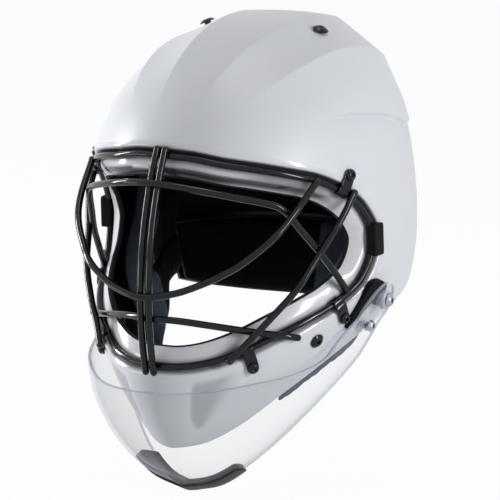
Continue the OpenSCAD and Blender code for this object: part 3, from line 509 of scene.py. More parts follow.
def gloss_lip():
    """The polished lip of the opening, a little smoother and cooler than the shell, darkened by painted shade
    from the mesh.
    """
    r = Recipe("Gloss_Lip", Specular_IOR_Level=0.4)
    colour = Vector(bpy.context.scene.helmet_finish.shell_colour)
    pale = r.between(r.noise(14.0), colour * 0.97, colour * 1.01)
    # Painted shade: the mesh's value darkens the lip to near black, for shade in the wire's groove and for
    # shade and the reflection of the dark inside over the brow
    r.set("Base Color", r.between(r.tone(), pale, (0.018, 0.022, 0.031)))
    r.set("Roughness", r.noise(80.0, 2.0) * 0.05 + 0.13)
    r.set("Coat Weight", r.noise(30.0) * 0.1 + 0.2)
    r.bump(r.noise(300.0, 2.0), 0.05, 0.0004)
    return r.material


def black_lining():
    """Matt black inner face of the shell."""
    r = Recipe("Black_Lining", Specular_IOR_Level=0.2)
    r.set("Base Color", r.between(r.noise(40.0), (0.006, 0.006, 0.007), (0.012, 0.012, 0.014)))
    r.set("Roughness", r.noise(200.0) * 0.1 + 0.8)
    r.bump(r.noise(1400.0), 0.2, 0.0004)
    return r.material


def gloss_black():
    """Gloss black coating on wire, straps and screws, with a slight unevenness."""
    r = Recipe("Gloss_Black_Coating", Specular_IOR_Level=0.08, Coat_Roughness=0.04)
    r.set("Base Color", r.between(r.noise(70.0), (0.002, 0.0022, 0.003), (0.006, 0.0065, 0.009)))
    r.set("Roughness", r.noise(160.0) * 0.08 + 0.12)
    r.set("Coat Weight", r.noise(50.0) * 0.1 + 0.35)
    r.bump(r.noise(420.0, 2.0), 0.06, 0.0004)
    return r.material


def black_plastic():
    """Moulded black plastic with a fine grain."""
    r = Recipe("Black_Plastic", Specular_IOR_Level=0.2)
    r.set("Base Color", r.between(r.noise(90.0), (0.004, 0.004, 0.005), (0.010, 0.010, 0.012)))
    r.set("Roughness", r.noise(260.0) * 0.12 + 0.3)
    r.bump(r.cells(1500.0), 0.12, 0.0003)
    return r.material


def black_rubber():
    """Matt black rubber with a faint bloom."""
    r = Recipe("Black_Rubber", Specular_IOR_Level=0.1)
    r.set("Base Color", r.between(r.noise(120.0), (0.003, 0.003, 0.004), (0.008, 0.008, 0.009)))
    r.set("Roughness", r.noise(300.0) * 0.15 + 0.55)
    r.bump(r.noise(1200.0), 0.25, 0.0003)
    return r.material


def knit(name, dark, light):
    """Knitted cloth over foam: rows of small loops, with a soft mottle."""
    r = Recipe(name, Specular_IOR_Level=0.08)
    x, y, z = r.axes()
    loops = ((x * 3600 + y * 2400).sine() * (z * 4200 - y * 1500).sine()).absolute()
    mottle = r.noise(220.0, 4.0)
    r.set("Base Color", r.between((loops * 0.5 + mottle * 0.6).limited(), dark, light))
    r.set("Roughness", mottle * 0.12 + 0.8)
    r.bump(loops * 0.6 + r.noise(900.0) * 0.4, 0.35, 0.0006)
    return r.material


def clear_sheet():
    """Clear plastic sheet: it lets the view through face on, and where it is seen at a slant it turns paler
    and less clear, a painted reflection of its surroundings.
    """
    r = Recipe("Clear_Sheet", Roughness=0.06, Specular_IOR_Level=0.6)
    edge = Amount(r, r.node("ShaderNodeLayerWeight", None, {"Blend": 0.5}).outputs["Facing"])
    r.set("Base Color", r.between(edge, (0.42, 0.45, 0.50), (0.50, 0.54, 0.62)))
    r.set("Alpha", (edge**4 * 0.6 + r.noise(24.0) * 0.03 + 0.065).limited())
    r.bump(r.noise(20.0, 1.0), 0.02, 0.002)
    return r.material


def clear_edge():
    """The cut edge of the clear sheet, which gathers light and reads as a pale line."""
    r = Recipe("Clear_Edge", Roughness=0.12, Specular_IOR_Level=0.6)
    r.set("Base Color", r.between(r.noise(60.0), (0.50, 0.55, 0.64), (0.74, 0.79, 0.88)))
    r.set("Alpha", r.noise(90.0) * 0.2 + 0.5)
    r.bump(r.noise(500.0), 0.1, 0.0004)
    return r.material


def bright_plate():
    """Bright plated steel of the throat guard's screws, with a faint drag in its polish."""
    r = Recipe("Bright_Plate", Metallic=1.0)
    r.set("Base Color", r.between(r.noise(350.0), (0.30, 0.32, 0.36), (0.46, 0.48, 0.52)))
    r.set("Roughness", r.noise(500.0) * 0.12 + 0.16)
    r.bump(r.noise(800.0), 0.08, 0.0003)
    return r.material


def charcoal_trim():
    """Charcoal soft plastic with pressed dots."""
    r = Recipe("Charcoal_Trim", Specular_IOR_Level=0.15)
    dots = r.cells(420.0)
    r.set("Base Color", r.between((dots * 1.4).limited(), (0.016, 0.016, 0.018), (0.036, 0.036, 0.038)))
    r.set("Roughness", r.noise(300.0) * 0.1 + 0.5)
    r.bump(dots, 0.25, 0.0005)
    return r.material


def zinc():
    """Bright zinc plate with a faint crystal bloom."""
    r = Recipe("Zinc", Metallic=1.0)
    r.set("Base Color", r.between(r.cells(700.0), (0.42, 0.42, 0.44), (0.62, 0.62, 0.63)))
    r.set("Roughness", r.noise(400.0) * 0.15 + 0.28)
    return r.material


def make_finishes():
    """Makes every finish once, under the name that the pieces use."""
    FINISH.update(
        shell=satin_shell(), lip=gloss_lip(), lining=black_lining(), wire=gloss_black(),
        plastic=black_plastic(), rubber=black_rubber(),
        foam=knit("Black_Knit", (0.003, 0.003, 0.004), (0.010, 0.011, 0.014)),
        slate=knit("Slate_Knit", (0.045, 0.055, 0.078), (0.10, 0.12, 0.16)), clear=clear_sheet(),
        trim=charcoal_trim(), zinc=zinc(), edge=clear_edge(), bolt=bright_plate(),
    )


# Settings


def size(label, text, default):
    """A length that a user can change."""
    return bpy.props.FloatProperty(name=label, description=text, default=default, unit="LENGTH")


class HELMET_PG_shell(bpy.types.PropertyGroup):
    """Sizes of the shell."""

    half_width: size("Half width", "Half the shell's width at the ears", 0.117)
    front_reach: size("Front reach", "Reach of the shell in front of the ears", 0.1515)
    back_reach: size("Back reach", "Reach of the shell behind the ears", 0.121)
    crown_height: size("Crown height", "Height of the crown above the ears", 0.1545)
    crown_shift: size("Crown shift", "How far the top lies behind the ears", 0.031)
    wall: size("Wall", "Thickness of the moulded wall", 0.0038)
    flute_depth: size("Flute depth", "Depth of the flutes over the crown", 0.003)
    scoop_depth: size("Scoop depth", "Depth of the scoop above each ear", 0.004)


class HELMET_PG_finish(bpy.types.PropertyGroup):
    """Colour of the shell and size of the cage wire."""

    shell_colour: bpy.props.FloatVectorProperty(
        name="Shell colour", description="Colour of the satin shell", subtype="COLOR",
        default=(0.70, 0.72, 0.76), min=0, max=1,
    )
    wire: size("Wire", "Diameter of the cage wire", 0.005)


# Shell

# Shares of the columns over half the crown, and how far out they lie: they crowd at the ridges
LANE_SHARES = (0, 0.14, 0.24, 0.42, 0.54, 1)
LANE_PLACES = (0, 0.175, 0.225, 0.53, 0.59, 1)
# How far the shell's edge hangs below the ears, in mm, every 15 degrees from the chin to the nape
EDGE = [145, 143, 139, 126, 101, 76, 57, 46, 40, 36, 34, 32, 32]
# The cage wire's middle lies this deep, and the lip leaves the shell's face this far out of the opening
RIM_DEPTH, LIP_REACH = 3.6, 9.0
RECESS_FOOT = -1.29


def from_front(t):
    """A turn as an angle from the front, whichever way round."""
    return np.abs(np.where(t > 180, 360 - t, t))


def edge_w(t):
    """Rise of the shell's bottom edge at a turn, from the chin round to the nape."""
    return -spline(EDGE, from_front(t) / 180)[..., 0] / 100


def crease_w(t):
    """Rise of the crease where the crown meets the sides: a low arch about turn 67."""
    return 0.36 - 0.17 * np.radians(np.clip(from_front(t), 57, 107) - 67) ** 2


def cap_turn(x, y):
    """The cap is a square wrapped on a disc: this is the turn of a place on it."""
    return np.degrees(np.arctan2(x * np.sqrt(1 - y * y / 2), -y * np.sqrt(1 - x * x / 2)))


def cap_rise(x, y):
    """The place's rise: 1 in the middle, falling to the crease with the distance on the disc."""
    out = np.minimum(1, np.sqrt(np.maximum(x * x + y * y - x * x * y * y, 0)))
    return 1 - (1 - crease_w(cap_turn(x, y))) * out


def flute(x, y):
    """Depth share of the flutes: a channel over the middle, a wider one beside it, sharp ridges between.

    Each channel is a parabola across, and the last one fades with the square of
    the distance from the cap's side.
    """
    a = np.abs(x)
    k = (a - 0.2) / 0.36
    m = (a - 0.56) / 0.44
    outer = np.where(a < 0.56, 4 * k * (1 - k), 3.2 * m * (1 - m) ** 2)
    return np.where(a < 0.2, 0.7 * (1 - (a / 0.2) ** 2), outer) * smooth((1 - np.abs(y)) / 0.55)


def scoop(t, w):
    """Depth share of the scoop above each ear, deepest just under the crease.

    It falls off downward to the power 1.4 and runs out with smooth steps at both ends.
    """
    a = from_front(t)
    top = crease_w(t)
    low = np.clip(0.31 - 0.3 * np.radians(a - 60), -0.1, 0.3)
    k = np.clip((top - w) / np.maximum(top - low, 0.02), 0, 1)
    form = (1 - k) ** 1.4 * smooth(k / 0.04) * smooth((a - 57) / 12) * smooth((140 - a) / 35)
    return np.where((a < 57) | (a > 140), 0, form)


def chin_recess(t, w):
    """Depth share of the recess at each side of the chin.

    It has a sharp upright edge at turn 17 and runs out over a curve whose turn
    grows with the square root of the height above its foot.
    """
    first = 16.8 + 4 * np.clip((-1.16 - w) / 0.13, 0, 1) ** 2
    last = 21 + 18.5 * np.sqrt(np.clip((w - RECESS_FOOT) / 0.49, 0, 1.6))
    k = (np.abs(t) - first) / np.maximum(last - first, 0.5)
    return np.where(w < RECESS_FOOT, 0, smooth(k / 0.12) * (1 - smooth((k - 0.55) / 0.45)))


def lip_edge(skin, s):
    """Turn and rise of the line where the lip leaves the shell's face, at stations of the rim."""
    p = skin.rim(s, LIP_REACH * np.ones_like(s), np.zeros_like(s))
    w = skin.rise(p[..., 2])
    return skin.turn(p, w), w


def lip_rows(skin, s):
    """Rows of the lip from the shell's face over the wire's seat to its inner edge and back inside.

    The lip drops from the seat to its inner edge by 5 mm, and by 5 more where
    the opening is widest.
    """
    drop = 5 + 5 * (np.abs(skin.rim_on_skin(s)[..., 0]) / skin.half) ** 4
    clearance, thick = 0.3, 3.4
    seat = RIM_DEPTH + skin.wire + clearance
    rows = [
        (6.4, 0.5), (4.3, 2.0), (3.0, seat - 1.6), (0, seat), (-6, seat + 0.3 * drop), (-12, seat + drop),
        (-12.6, seat + drop + thick - 1), (-10.5, seat + drop + thick), (-4.8, seat + 0.3 * drop + thick),
        (2.5, seat + thick),
    ]
    one = np.ones_like(s)
    return [skin.rim(s, out * one, depth * one) for out, depth in rows]


def lip_painted_shade(row, s):
    """Painted shade on the lip: dark in its groove for the wire all round, over its inner half at the brow
    and in a band beside the brow's middle, with a thin pale line left at the inner edge as a painted
    highlight.

    Each part is a product of smooth steps along the row, counted from the shell's
    face inward, and along the station.
    """
    p, a = row[:, None], np.abs(s)[None]
    # The groove's painted shade beside the wire, weaker toward the chin; the inner and middle parts paint
    # shade and the reflection of the dark inside over the brow, and leave a painted highlight along the inner
    # edge
    depth = 0.95 - 0.45 * smooth((a - 0.42) / 0.3)
    groove_shade = smooth((p - 1.2) / 0.7) * (1 - smooth((p - 4.1) / 0.7)) * depth
    brow, off_middle = 1 - smooth((a - 0.31) / 0.12), smooth((a - 0.1) / 0.08)
    inner = 0.97 * smooth((p - 4.95) / 0.3) * brow * (1 - 0.7 * smooth((p - 5.6) / 0.3) * off_middle)
    ends = smooth((a - 0.12) / 0.1) * (1 - smooth((a - 0.33) / 0.1))
    middle = 0.6 * smooth((p - 3.8) / 0.4) * ends * (1 - smooth((p - 5.6) / 0.3))
    return np.maximum(np.maximum(groove_shade, inner), middle)


def shell_patches(skin, lanes=48, rows=76, belt=22, jaw=30):
    """The shell as welded grids: crown cap, belt, jaw, lip and the inner faces.

    The belt and the jaw have one column for each place on the cap's border. A
    column near the front ends at the opening's lip, and any other at rise 0.03.
    """
    columns = 4 * lanes + 2 * rows
    slit = int(round(columns * 0.225))
    half = np.interp(np.arange(lanes + 1) / lanes, LANE_SHARES, LANE_PLACES)
    x, y = np.concatenate([-half[:0:-1], half]), np.linspace(-1, 1, rows + 1)
    gx, gy = np.meshgrid(x, y)
    # The walk round the cap's border, from the front centre by the left
    j = np.arange(columns + 1) % columns
    across = np.maximum(np.clip(np.minimum(j, 2 * lanes + rows - j), -lanes, lanes), j - columns)
    along = np.clip(np.minimum(j - lanes, 3 * lanes + 2 * rows - j), 0, rows)
    bx, by = x[across + lanes], y[along]
    a = cap_turn(bx, by)
    a = np.where(a < -90, a + 360, a)
    signed = np.where(j > columns / 2, j - columns, j)
    inside = np.abs(signed) <= slit
    c = np.where(inside, signed / slit * 0.5, 0.0)
    high_t, high_w = lip_edge(skin, c)
    low_t, low_w = lip_edge(skin, np.where(c < 0, -1 - c, 1 - c))
    high_t = np.where(inside, np.where(high_t < -90, high_t + 360, high_t), a)
    high_w = np.where(inside, high_w, 0.03)
    low_t, low_w = np.where(inside, low_t, a), np.where(inside, low_w, 0.03)
    near = np.where(np.abs(high_t - a) > 180, a - 360, a)
    f = np.concatenate([np.linspace(0, 0.86, belt - 6), [0.89, 0.92, 0.945, 0.965, 0.98, 0.99]])[:, None]
    bt, bw = high_t + (near - high_t) * f, high_w + (crease_w(a) - high_w) * f
    g = np.linspace(0, 1, jaw + 1)[:, None]
    jt = np.broadcast_to(low_t, (jaw + 1, columns + 1))
    jw = edge_w(low_t) + (low_w - edge_w(low_t)) * g
    # The recess's depth share, which also paints shade into the shell's colour there
    chin = chin_recess(jt, jw) * smooth((1 - g) / 0.15) * smooth(g / 0.12)

    def face(depth):
        """The cap, the belt with the cap's border, and the jaw, all at one depth."""
        cap = skin.at(cap_turn(gx, gy), cap_rise(gx, gy), depth + skin.flutes * flute(gx, gy))
        border = skin.at(cap_turn(bx, by), cap_rise(bx, by), depth + skin.flutes * flute(bx, by))
        middle = skin.at(bt, bw, depth + skin.scoops * scoop(bt, bw) * smooth(f / 0.2))
        return cap, np.concatenate([middle, border[None]]), skin.at(jt, jw, depth + 1.8 * chin)

    cap, sides, cheeks = face(0.0)
    cap_in, sides_in, cheeks_in = face(skin.wall)
    m = np.arange(4 * slit + 1)
    s = np.where(m <= 2 * slit, m / (2 * slit), m / (2 * slit) - 2)
    lt, lw = lip_edge(skin, s)
    lip = refined([skin.at(lt, lw, 0 * lw), *lip_rows(skin, s), skin.at(lt, lw, skin.wall + 0 * lw)], 45)
    # The bottom edge is rolled: half a circle between the outer and the inner face
    outer, inner = cheeks[0], cheeks_in[0]
    down = unit(cheeks[0] - cheeks[1])
    k = np.linspace(0, np.pi, 7)[:, None, None]
    roll = (outer + inner) / 2 + np.cos(k) * (outer - inner) / 2 + np.sin(k) * down * skin.wall / 2
    # The cheeks carry half the recess share as painted shade, and the lip's outer rows carry the lip's
    # painted shade
    return [
        (cap, 0), (sides, 0), (cheeks, 0, 0.5 * chin), (lip[:25], 1, lip_painted_shade(np.arange(25) / 4, s)),
        (lip[24:], 2), (roll, 0), (cap_in, 2), (sides_in, 2), (cheeks_in, 2),
    ]


class HELMET_OT_shell(bpy.types.Operator):
    """Build the fluted shell with its rolled lip"""

    bl_idname = "helmet.shell"
    bl_label = "Shell"

    def execute(self, context):
        finishes = ("shell", "lip", "lining")
        build("Helmet_Shell", shell_patches(Skin()), "helmet", finishes, ["outer_shell"], crease=50)
        return {"FINISHED"}


# Cage

# The two centre bars bend on a circle of this radius about this place, seen from the side
BAR_R, BAR_Y, BAR_Z = 242.0, 82.2, -30.0
# The middles of two wires that cross lie this far apart
LAYER = 4.7


def bar_front(z):
    """How far forward the centre bars are at a height: their circle's front."""
    return BAR_Y - math.sqrt(BAR_R**2 - (z - BAR_Z) ** 2)


# Routes of the wires from the middle to the wearer's left
U_BAR = [
    (0, bar_front(-28) - LAYER, -28), (24, -160, -24), (42, -153, -17), (55, -146, -10), (66, -136, -2),
    (80, -121, 13), (88, -105, 28), (94, -80, 50),
]
BROW_BAR = [
    (0, bar_front(51) - LAYER, 51), (30, -144, 48), (56, -128, 42), (75, -111, 36), (82, -103, 30),
    (88, -91, 15), (95, -77, -2), (100, -62, -20), (103, -50, -35),
]
DIAGONAL = np.array([
    (109, -53, 39), (106, -66, 22), (97, -81, -1), (88, -98, -25), (75, -113, -45), (64, -123, -60),
    (54, -134, -74),
], float)
# Stations of the clips along the left half of the rim
CLIPS = [0.371, 0.622, 0.806]


def lower_bar(skin):
    """The lower bar's route, whose end is laid on the rim wire."""
    ends = [
        skin.rim(np.array(s), np.array(out), np.array(depth))
        for s, out, depth in ((0.737, -0.5, RIM_DEPTH - LAYER), (0.714, 5.5, -2.4))
    ]
    return [(0, bar_front(-45) + LAYER, -45), (20, -148, -46), (42, -133.5, -50.3), (60, -118, -54.8), *ends]


def beads(points, radius):
    """Small weld beads: flattened balls where two wires meet."""
    a, b = np.meshgrid(np.linspace(0, np.pi, 9), np.linspace(0, 2 * np.pi, 17), indexing="ij")
    ball = np.stack([np.sin(a) * np.cos(b), np.sin(a) * np.sin(b), np.cos(a)], -1)
    return [(p + ball * radius * [1, 1, 0.85], 0) for p in points]


class HELMET_OT_cage(bpy.types.Operator):
    """Build the welded wire cage"""

    bl_idname = "helmet.cage"
    bl_label = "Wire cage"

    def execute(self, context):
        skin = Skin()
        s, fine = np.linspace(-1, 1, 241)[:-1], np.linspace(0, 1, 121)
        up, down = math.asin((73 - BAR_Z) / BAR_R), math.asin((84 + BAR_Z) / BAR_R)
        a = np.linspace(-down, up, 100)
        centre = np.stack([3.3 + 0 * a, BAR_Y - BAR_R * np.cos(a), BAR_Z + BAR_R * np.sin(a)], -1)
        low = lower_bar(skin)
        rim = tube(skin.rim(s, 0 * s, RIM_DEPTH + 0 * s), skin.wire, True)
        wires = [("Cage_Rim_Wire", [(rim, 0)], "cage_rim")]
        for name, route, node in (
            ("Cage_U_Wire", both_ways(U_BAR), "cage_u_bar"),
            ("Cage_Brow_Wire", both_ways(BROW_BAR), "cage_brow_bar"),
            ("Cage_Lower_Wire", both_ways(low), "cage_lower_bar"),
            ("Cage_Diagonal_Wire_Left", DIAGONAL, "cage_diagonal_left"),
            ("Cage_Diagonal_Wire_Right", DIAGONAL * MIRROR, "cage_diagonal_right"),
        ):
            wires.append((name, [(tube(spline(route, fine), skin.wire), 0)], node))
        wires.append(("Cage_Centre_Wires", mirrored([(tube(centre, skin.wire), 0)]), "cage_centre_bars"))
        for name, patches, node in wires:
            build(name, patches, "helmet", ["wire"], [node])
        joins = [np.asarray(p, float) for p in (U_BAR[-1], BROW_BAR[-1], DIAGONAL[0], DIAGONAL[-1], low[-2])]
        spots = [p * [side, 1, 1] for p in joins for side in (1, -1)]
        build("Cage_Weld_Beads", beads(spots, 2.9), "helmet", ["wire"])
        return {"FINISHED"}


def squared(k, power_x, power_y):
    """A circle with flattened sides: cos(k) and sin(k), each with its size raised to a small power."""
    x, y = np.cos(k), np.sin(k)
    return np.sign(x) * np.abs(x) ** power_x, np.sign(y) * np.abs(y) ** power_y


def strap(place, width=9.0, thick=1.6, reach=12.5):
    """One clip strap: a flat section carried round the rim wire and out along the shell, with a round end.

    The section is a rectangle with softened corners, and its half width falls as
    a circle beyond the screw.
    """
    bore, lift = 2.65, 0.3
    arc = np.radians(np.linspace(184, 62, 16))
    wrap = np.stack([bore * np.cos(arc), bore * np.sin(arc) - RIM_DEPTH], -1)
    run = np.array([[2.2, 0.15], [3.2, 0.35], [4.5, 0.32], [6, lift]])
    turn = reach + width / 2 * np.sin(np.radians(np.linspace(6, 90, 14)))
    flat = np.concatenate([np.linspace(7, reach, 12), turn])
    line = np.vstack([wrap, run, np.stack([flat, np.full(len(flat), lift)], -1)])
    d = unit(np.gradient(line, axis=0))
    n = np.stack([-d[:, 1], d[:, 0]], -1)
    mid = line + n * thick / 2
    past = np.clip((line[:, 0] - reach) / (width / 2), 0, 1)
    half = width / 2 * np.sqrt(1 - past**2)
    cx, cy = squared(np.linspace(0, 2 * np.pi, 29), 0.25, 0.35)
    o, z = (mid[:, None, i] + cy * thick / 2 * n[:, None, i] for i in (0, 1))
    grid = np.stack([o, cx * half[:, None], z], -1)
    first = np.repeat(grid[:1].mean(1, keepdims=True), len(cx), 1)
    return (placed(np.concatenate([first, grid]), place), 0)


def rim_block(place):
    """A rubber block: a rounded section, flat below, carried along the rim and closed at its ends.

    Its size falls at the ends with 1 less v to the tenth power, and its outer
    side is cut back where the shell's face lies.
    """
    qx, qz = squared(np.linspace(0, 2 * np.pi, 41), 0.3, 0.3)
    v = np.linspace(-1, 1, 25)[:, None]
    fall = (np.maximum(1 - np.abs(v) ** 10, 0) ** 0.3) ** 0.5
    o = 5.5 * qx[None] * fall
    z = np.where(qz > 0, 2.6, 6.0)[None] * qz[None] * fall
    o = np.where((z < 0.4) & (o > 2.4), 2.4, o)
    return (placed(np.stack([o, np.broadcast_to(12.5 * v, o.shape), z], -1), place), 0)


class HELMET_OT_clips(bpy.types.Operator):
    """Build the six clip straps, their screws and the two rubber blocks"""

    bl_idname = "helmet.clips"
    bl_label = "Clips"

    def execute(self, context):
        skin = Skin()
        straps = [strap(skin.at_rim(s)) for s in CLIPS]
        screws = [domed_screw(skin.at_rim(s, 12.5), 4.2, 2.2, shank=2.0, length=8.5, base=2.2) for s in CLIPS]
        block = rim_block(skin.at_rim(0.5))
        build("Cage_Clip_Straps", mirrored(straps), "helmet", ["wire"], ["cage_clips"], crease=50)
        build("Clip_Screws", mirrored(screws), "helmet", ["wire"], ["clip_screws"], crease=40)
        build("Rim_Blocks", mirrored([block]), "helmet", ["rubber"], ["rim_buffers"], crease=45)
        return {"FINISHED"}


# Throat guard

# Pivot and guide screw seen from the side, and the guard's sheet
PIVOT = np.array([-21.0, -43.5])
GUIDE_R, GUIDE_TURN, TAB_OFF, GUARD_T = 21.0, math.radians(238), 5.3, 2.5
GUIDE = PIVOT + GUIDE_R * np.array([math.cos(GUIDE_TURN), math.sin(GUIDE_TURN)])
# Outlines in the tab's own plane
TAB_FORM = [
    (24, 12.3), (15, 11), (6, 11.5), (-3, 10), (-9, 5), (-12.5, 0), (-12, -8), (-7, -12), (2, -15),
    (13, -16), (24, -15.4),
]
PAD_FORM = [
    (-11.5, -4), (-10, -12.5), (-6, -18.5), (0, -20.5), (12, -19), (20, -18.5), (25, -18), (29.5, -17),
    (33, -14.5), (31.5, -12), (24, -10.5), (14, -9), (4, -6.5), (-3, -3.5), (-8, -1),
]
PAD_MIDDLE = np.array([8.0, -13.0])
# Profiles turned about the pivot: radius and height
SPACER = [(2.6, 0), (4.6, 0), (4.6, 4.6), (2.6, 4.6), (2.6, 0)]
BUSH = [
    (2.6, -0.6), (6.0, -0.6), (6.0, 0.2), (6.6, 0.4), (6.9, 1.6), (6.9, 3.4), (6.5, 4.4), (5.9, 5.1),
    (5.4, 5.3), (4.9, 5.0), (4.6, 4.8), (2.6, 4.8), (2.6, -0.6),
]


class Tab:
    """The tilted plane of the guard's tab: out of it, along it from pivot to guide, and across."""

    def __init__(self, skin):
        self.out = skin.outward(np.array(76.0), np.array(-0.52))
        along = np.array([0, math.cos(GUIDE_TURN), math.sin(GUIDE_TURN)])
        along[0] = -(self.out[1] * along[1] + self.out[2] * along[2]) / self.out[0]
        self.along = unit(along)
        self.across = np.cross(self.out, self.along)
        self.origin = np.array([float(skin.side_x(*PIVOT)) + TAB_OFF, *PIVOT])
        self.reach = GUIDE_R / math.hypot(self.along[1], self.along[2])

    def at(self, a, b, h=0.0):
        """The point a along, b across and h out of the plane."""
        a, b, h = np.broadcast_arrays(np.asarray(a, float), np.asarray(b, float), np.asarray(h, float))
        return self.origin + a[..., None] * self.along + b[..., None] * self.across + h[..., None] * self.out

    def seen(self, y, z):
        """The place on the plane, along and across, of a point seen from the side."""
        y, z = np.asarray(y, float) - PIVOT[0], np.asarray(z, float) - PIVOT[1]
        p = np.stack([-(self.out[1] * y + self.out[2] * z) / self.out[0], y, z], -1)
        return np.stack([p @ self.along, p @ self.across], -1)


def guard_edges(tab):
    """The guard's upper and lower edges, from the middle round to the tab."""
    t = GUARD_T
    top = [
        (0, -172, -95), (26, -166, -95), (49, -149, -94), (69, -126, -91), (84, -103, -88),
        tab.at(63, -25, t), tab.at(43, -20.5, t), tab.at(24, -15, t),
    ]
    low = [
        (0, -92, -183), (22, -90, -176.5), (42, -84, -162), (61, -73, -143), (77, -62, -124),
        (90, -49, -106), tab.at(44, 13, t), tab.at(24, 12, t),
    ]
    return np.array([[*p] for p in top], float), np.array([[*p] for p in low], float)


def guard_skin(tab, u, v):
    """The guard's outer face: u runs from tab to tab, v from the upper to the lower edge.

    It is the straight line between the edges, swelled outward by a parabola in v
    that fades toward the tabs.
    """
    top, low = guard_edges(tab)
    s = np.abs(u)
    a, b = spline(top, s), spline(low, s)
    p = a + (b - a) * v[..., None]
    swell = 16 * (4 * v * (1 - v) + 0.8 * v**3 * (1 - v)) * (1 - s * s) ** 2
    q = p + swell[..., None] * unit(p * [1.2, 1, 1] + [0, 60, 110])
    return q * to_side(np.where(u < 0, -1, 1))


def guard_out(tab, u, v):
    """Its outward normal, which turns into the tab's own near the ends."""
    c = np.clip(u, -0.999, 0.999)
    along = guard_skin(tab, c + 0.001, v) - guard_skin(tab, c - 0.001, v)
    up = guard_skin(tab, c, np.maximum(v - 0.02, 0)) - guard_skin(tab, c, np.minimum(v + 0.02, 1))
    k = smooth((np.abs(u) - 0.8) / 0.2)[..., None]
    side = tab.out * to_side(np.where(u < 0, -1, 1))
    return unit(unit(np.cross(along, up)) * (1 - k) + side * k)


def sheet_patch(tab, nu=200, nv=30):
    """The guard as a sheet of even thickness: one closed section carried from tab to tab.

    Each edge is half a circle. The strip along the upper edge takes its half
    circle from the outer face back to the inner one, so it crosses itself within
    the thickness.
    """
    u, v = np.broadcast_arrays(np.linspace(-1, 1, nu + 1)[:, None], np.linspace(0, 1, nv + 1)[None])
    out = guard_skin(tab, u, v)
    inn = out - GUARD_T * guard_out(tab, u, v)
    k = np.linspace(0, np.pi, 6)[1:-1][None, :, None]

    def rounded(edge, inward, way):
        """Four steps along half a circle between the two faces' edges."""
        mid, arm = (out[:, edge] + inn[:, edge]) / 2, (out[:, edge] - inn[:, edge]) / 2
        away = unit(out[:, edge] - out[:, inward])
        return mid[:, None] + way * np.cos(k) * arm[:, None] + np.sin(k) * away[:, None]

    low, top = rounded(-1, -2, 1), rounded(0, 1, -1)
    return [
        (out, 0), (np.concatenate([out[:, -1:], low, inn[:, -1:]], 1), 1),
        (inn[:, ::-1], 0), (np.concatenate([inn[:, :1], top[:, ::-1], out[:, :1]], 1), 1),
    ]


def tab_mesh(tab):
    """One tab: its outline with the slot and the bore for the bush, given the sheet's thickness.

    It comes back as its points, the corners of its faces and, for each face, 1 on
    a cut edge and 0 elsewhere.
    """
    a = np.linspace(0, 2 * np.pi, 40, endpoint=False)
    bore = tab.seen(PIVOT[0] + 6.05 * np.cos(a), PIVOT[1] + 6.05 * np.sin(a))
    lo, hi = GUIDE_TURN - math.radians(9), GUIDE_TURN + math.radians(5)
    ends = []
    for centre, start in ((hi, hi), (lo, lo + np.pi)):
        c = PIVOT + GUIDE_R * np.array([math.cos(centre), math.sin(centre)])
        k = start + np.linspace(0, np.pi, 14)
        ends.append(np.stack([c[0] + 2.8 * np.cos(k), c[1] + 2.8 * np.sin(k)], -1))
    slot = tab.seen(*np.vstack(ends).T)
    soft = 0.35
    curve = bpy.data.curves.new("tab_form", "CURVE")
    curve.dimensions, curve.fill_mode, curve.extrude = "2D", "BOTH", GUARD_T / 2 - soft
    curve.bevel_depth, curve.bevel_resolution, curve.offset = soft, 2, -soft
    for loop in (spline(TAB_FORM, np.linspace(0, 1, 90)), bore, slot):
        line = curve.splines.new("POLY")
        line.points.add(len(loop) - 1)
        places = np.column_stack([loop, np.zeros(len(loop)), np.ones(len(loop))])
        line.points.foreach_set("co", places.ravel())
        line.use_cyclic_u = True
    holder = bpy.data.objects.new("tab_form", curve)
    bpy.context.scene.collection.objects.link(holder)
    bpy.context.view_layer.update()
    mesh = bpy.data.meshes.new_from_object(holder.evaluated_get(bpy.context.evaluated_depsgraph_get()))
    bpy.data.objects.remove(holder)
    co = np.empty(len(mesh.vertices) * 3)
    mesh.vertices.foreach_get("co", co)
    co = co.reshape(-1, 3)
    where = tab.at(co[:, 0], co[:, 1], co[:, 2] + GUARD_T / 2) / 1000
    normals = np.empty(len(mesh.polygons) * 3)
    mesh.polygons.foreach_get("normal", normals)
    return where, [tuple(p.vertices) for p in mesh.polygons], (np.abs(normals[2::3]) < 0.8).astype(np.int32)


def add_tabs(sheet, tab):
    """Adds the left tab to the sheet, and its mirror image with its faces turned round."""
    where, faces, cut = tab_mesh(tab)
    tabs = bpy.data.meshes.new("tabs")
    other = [[i + len(where) for i in corners[::-1]] for corners in faces]
    tabs.from_pydata(np.vstack([where, where * MIRROR]).tolist(), [], faces + other)
    tabs.polygons.foreach_set("material_index", np.tile(cut, 2))
    tabs.polygons.foreach_set("use_smooth", np.ones(2 * len(faces), bool))
    bm = bmesh.new()
    bm.from_mesh(sheet)
    bm.from_mesh(tabs)
    bm.to_mesh(sheet)
    bm.free()
    bpy.data.meshes.remove(tabs)
    sheet.set_sharp_from_angle(angle=math.radians(50))


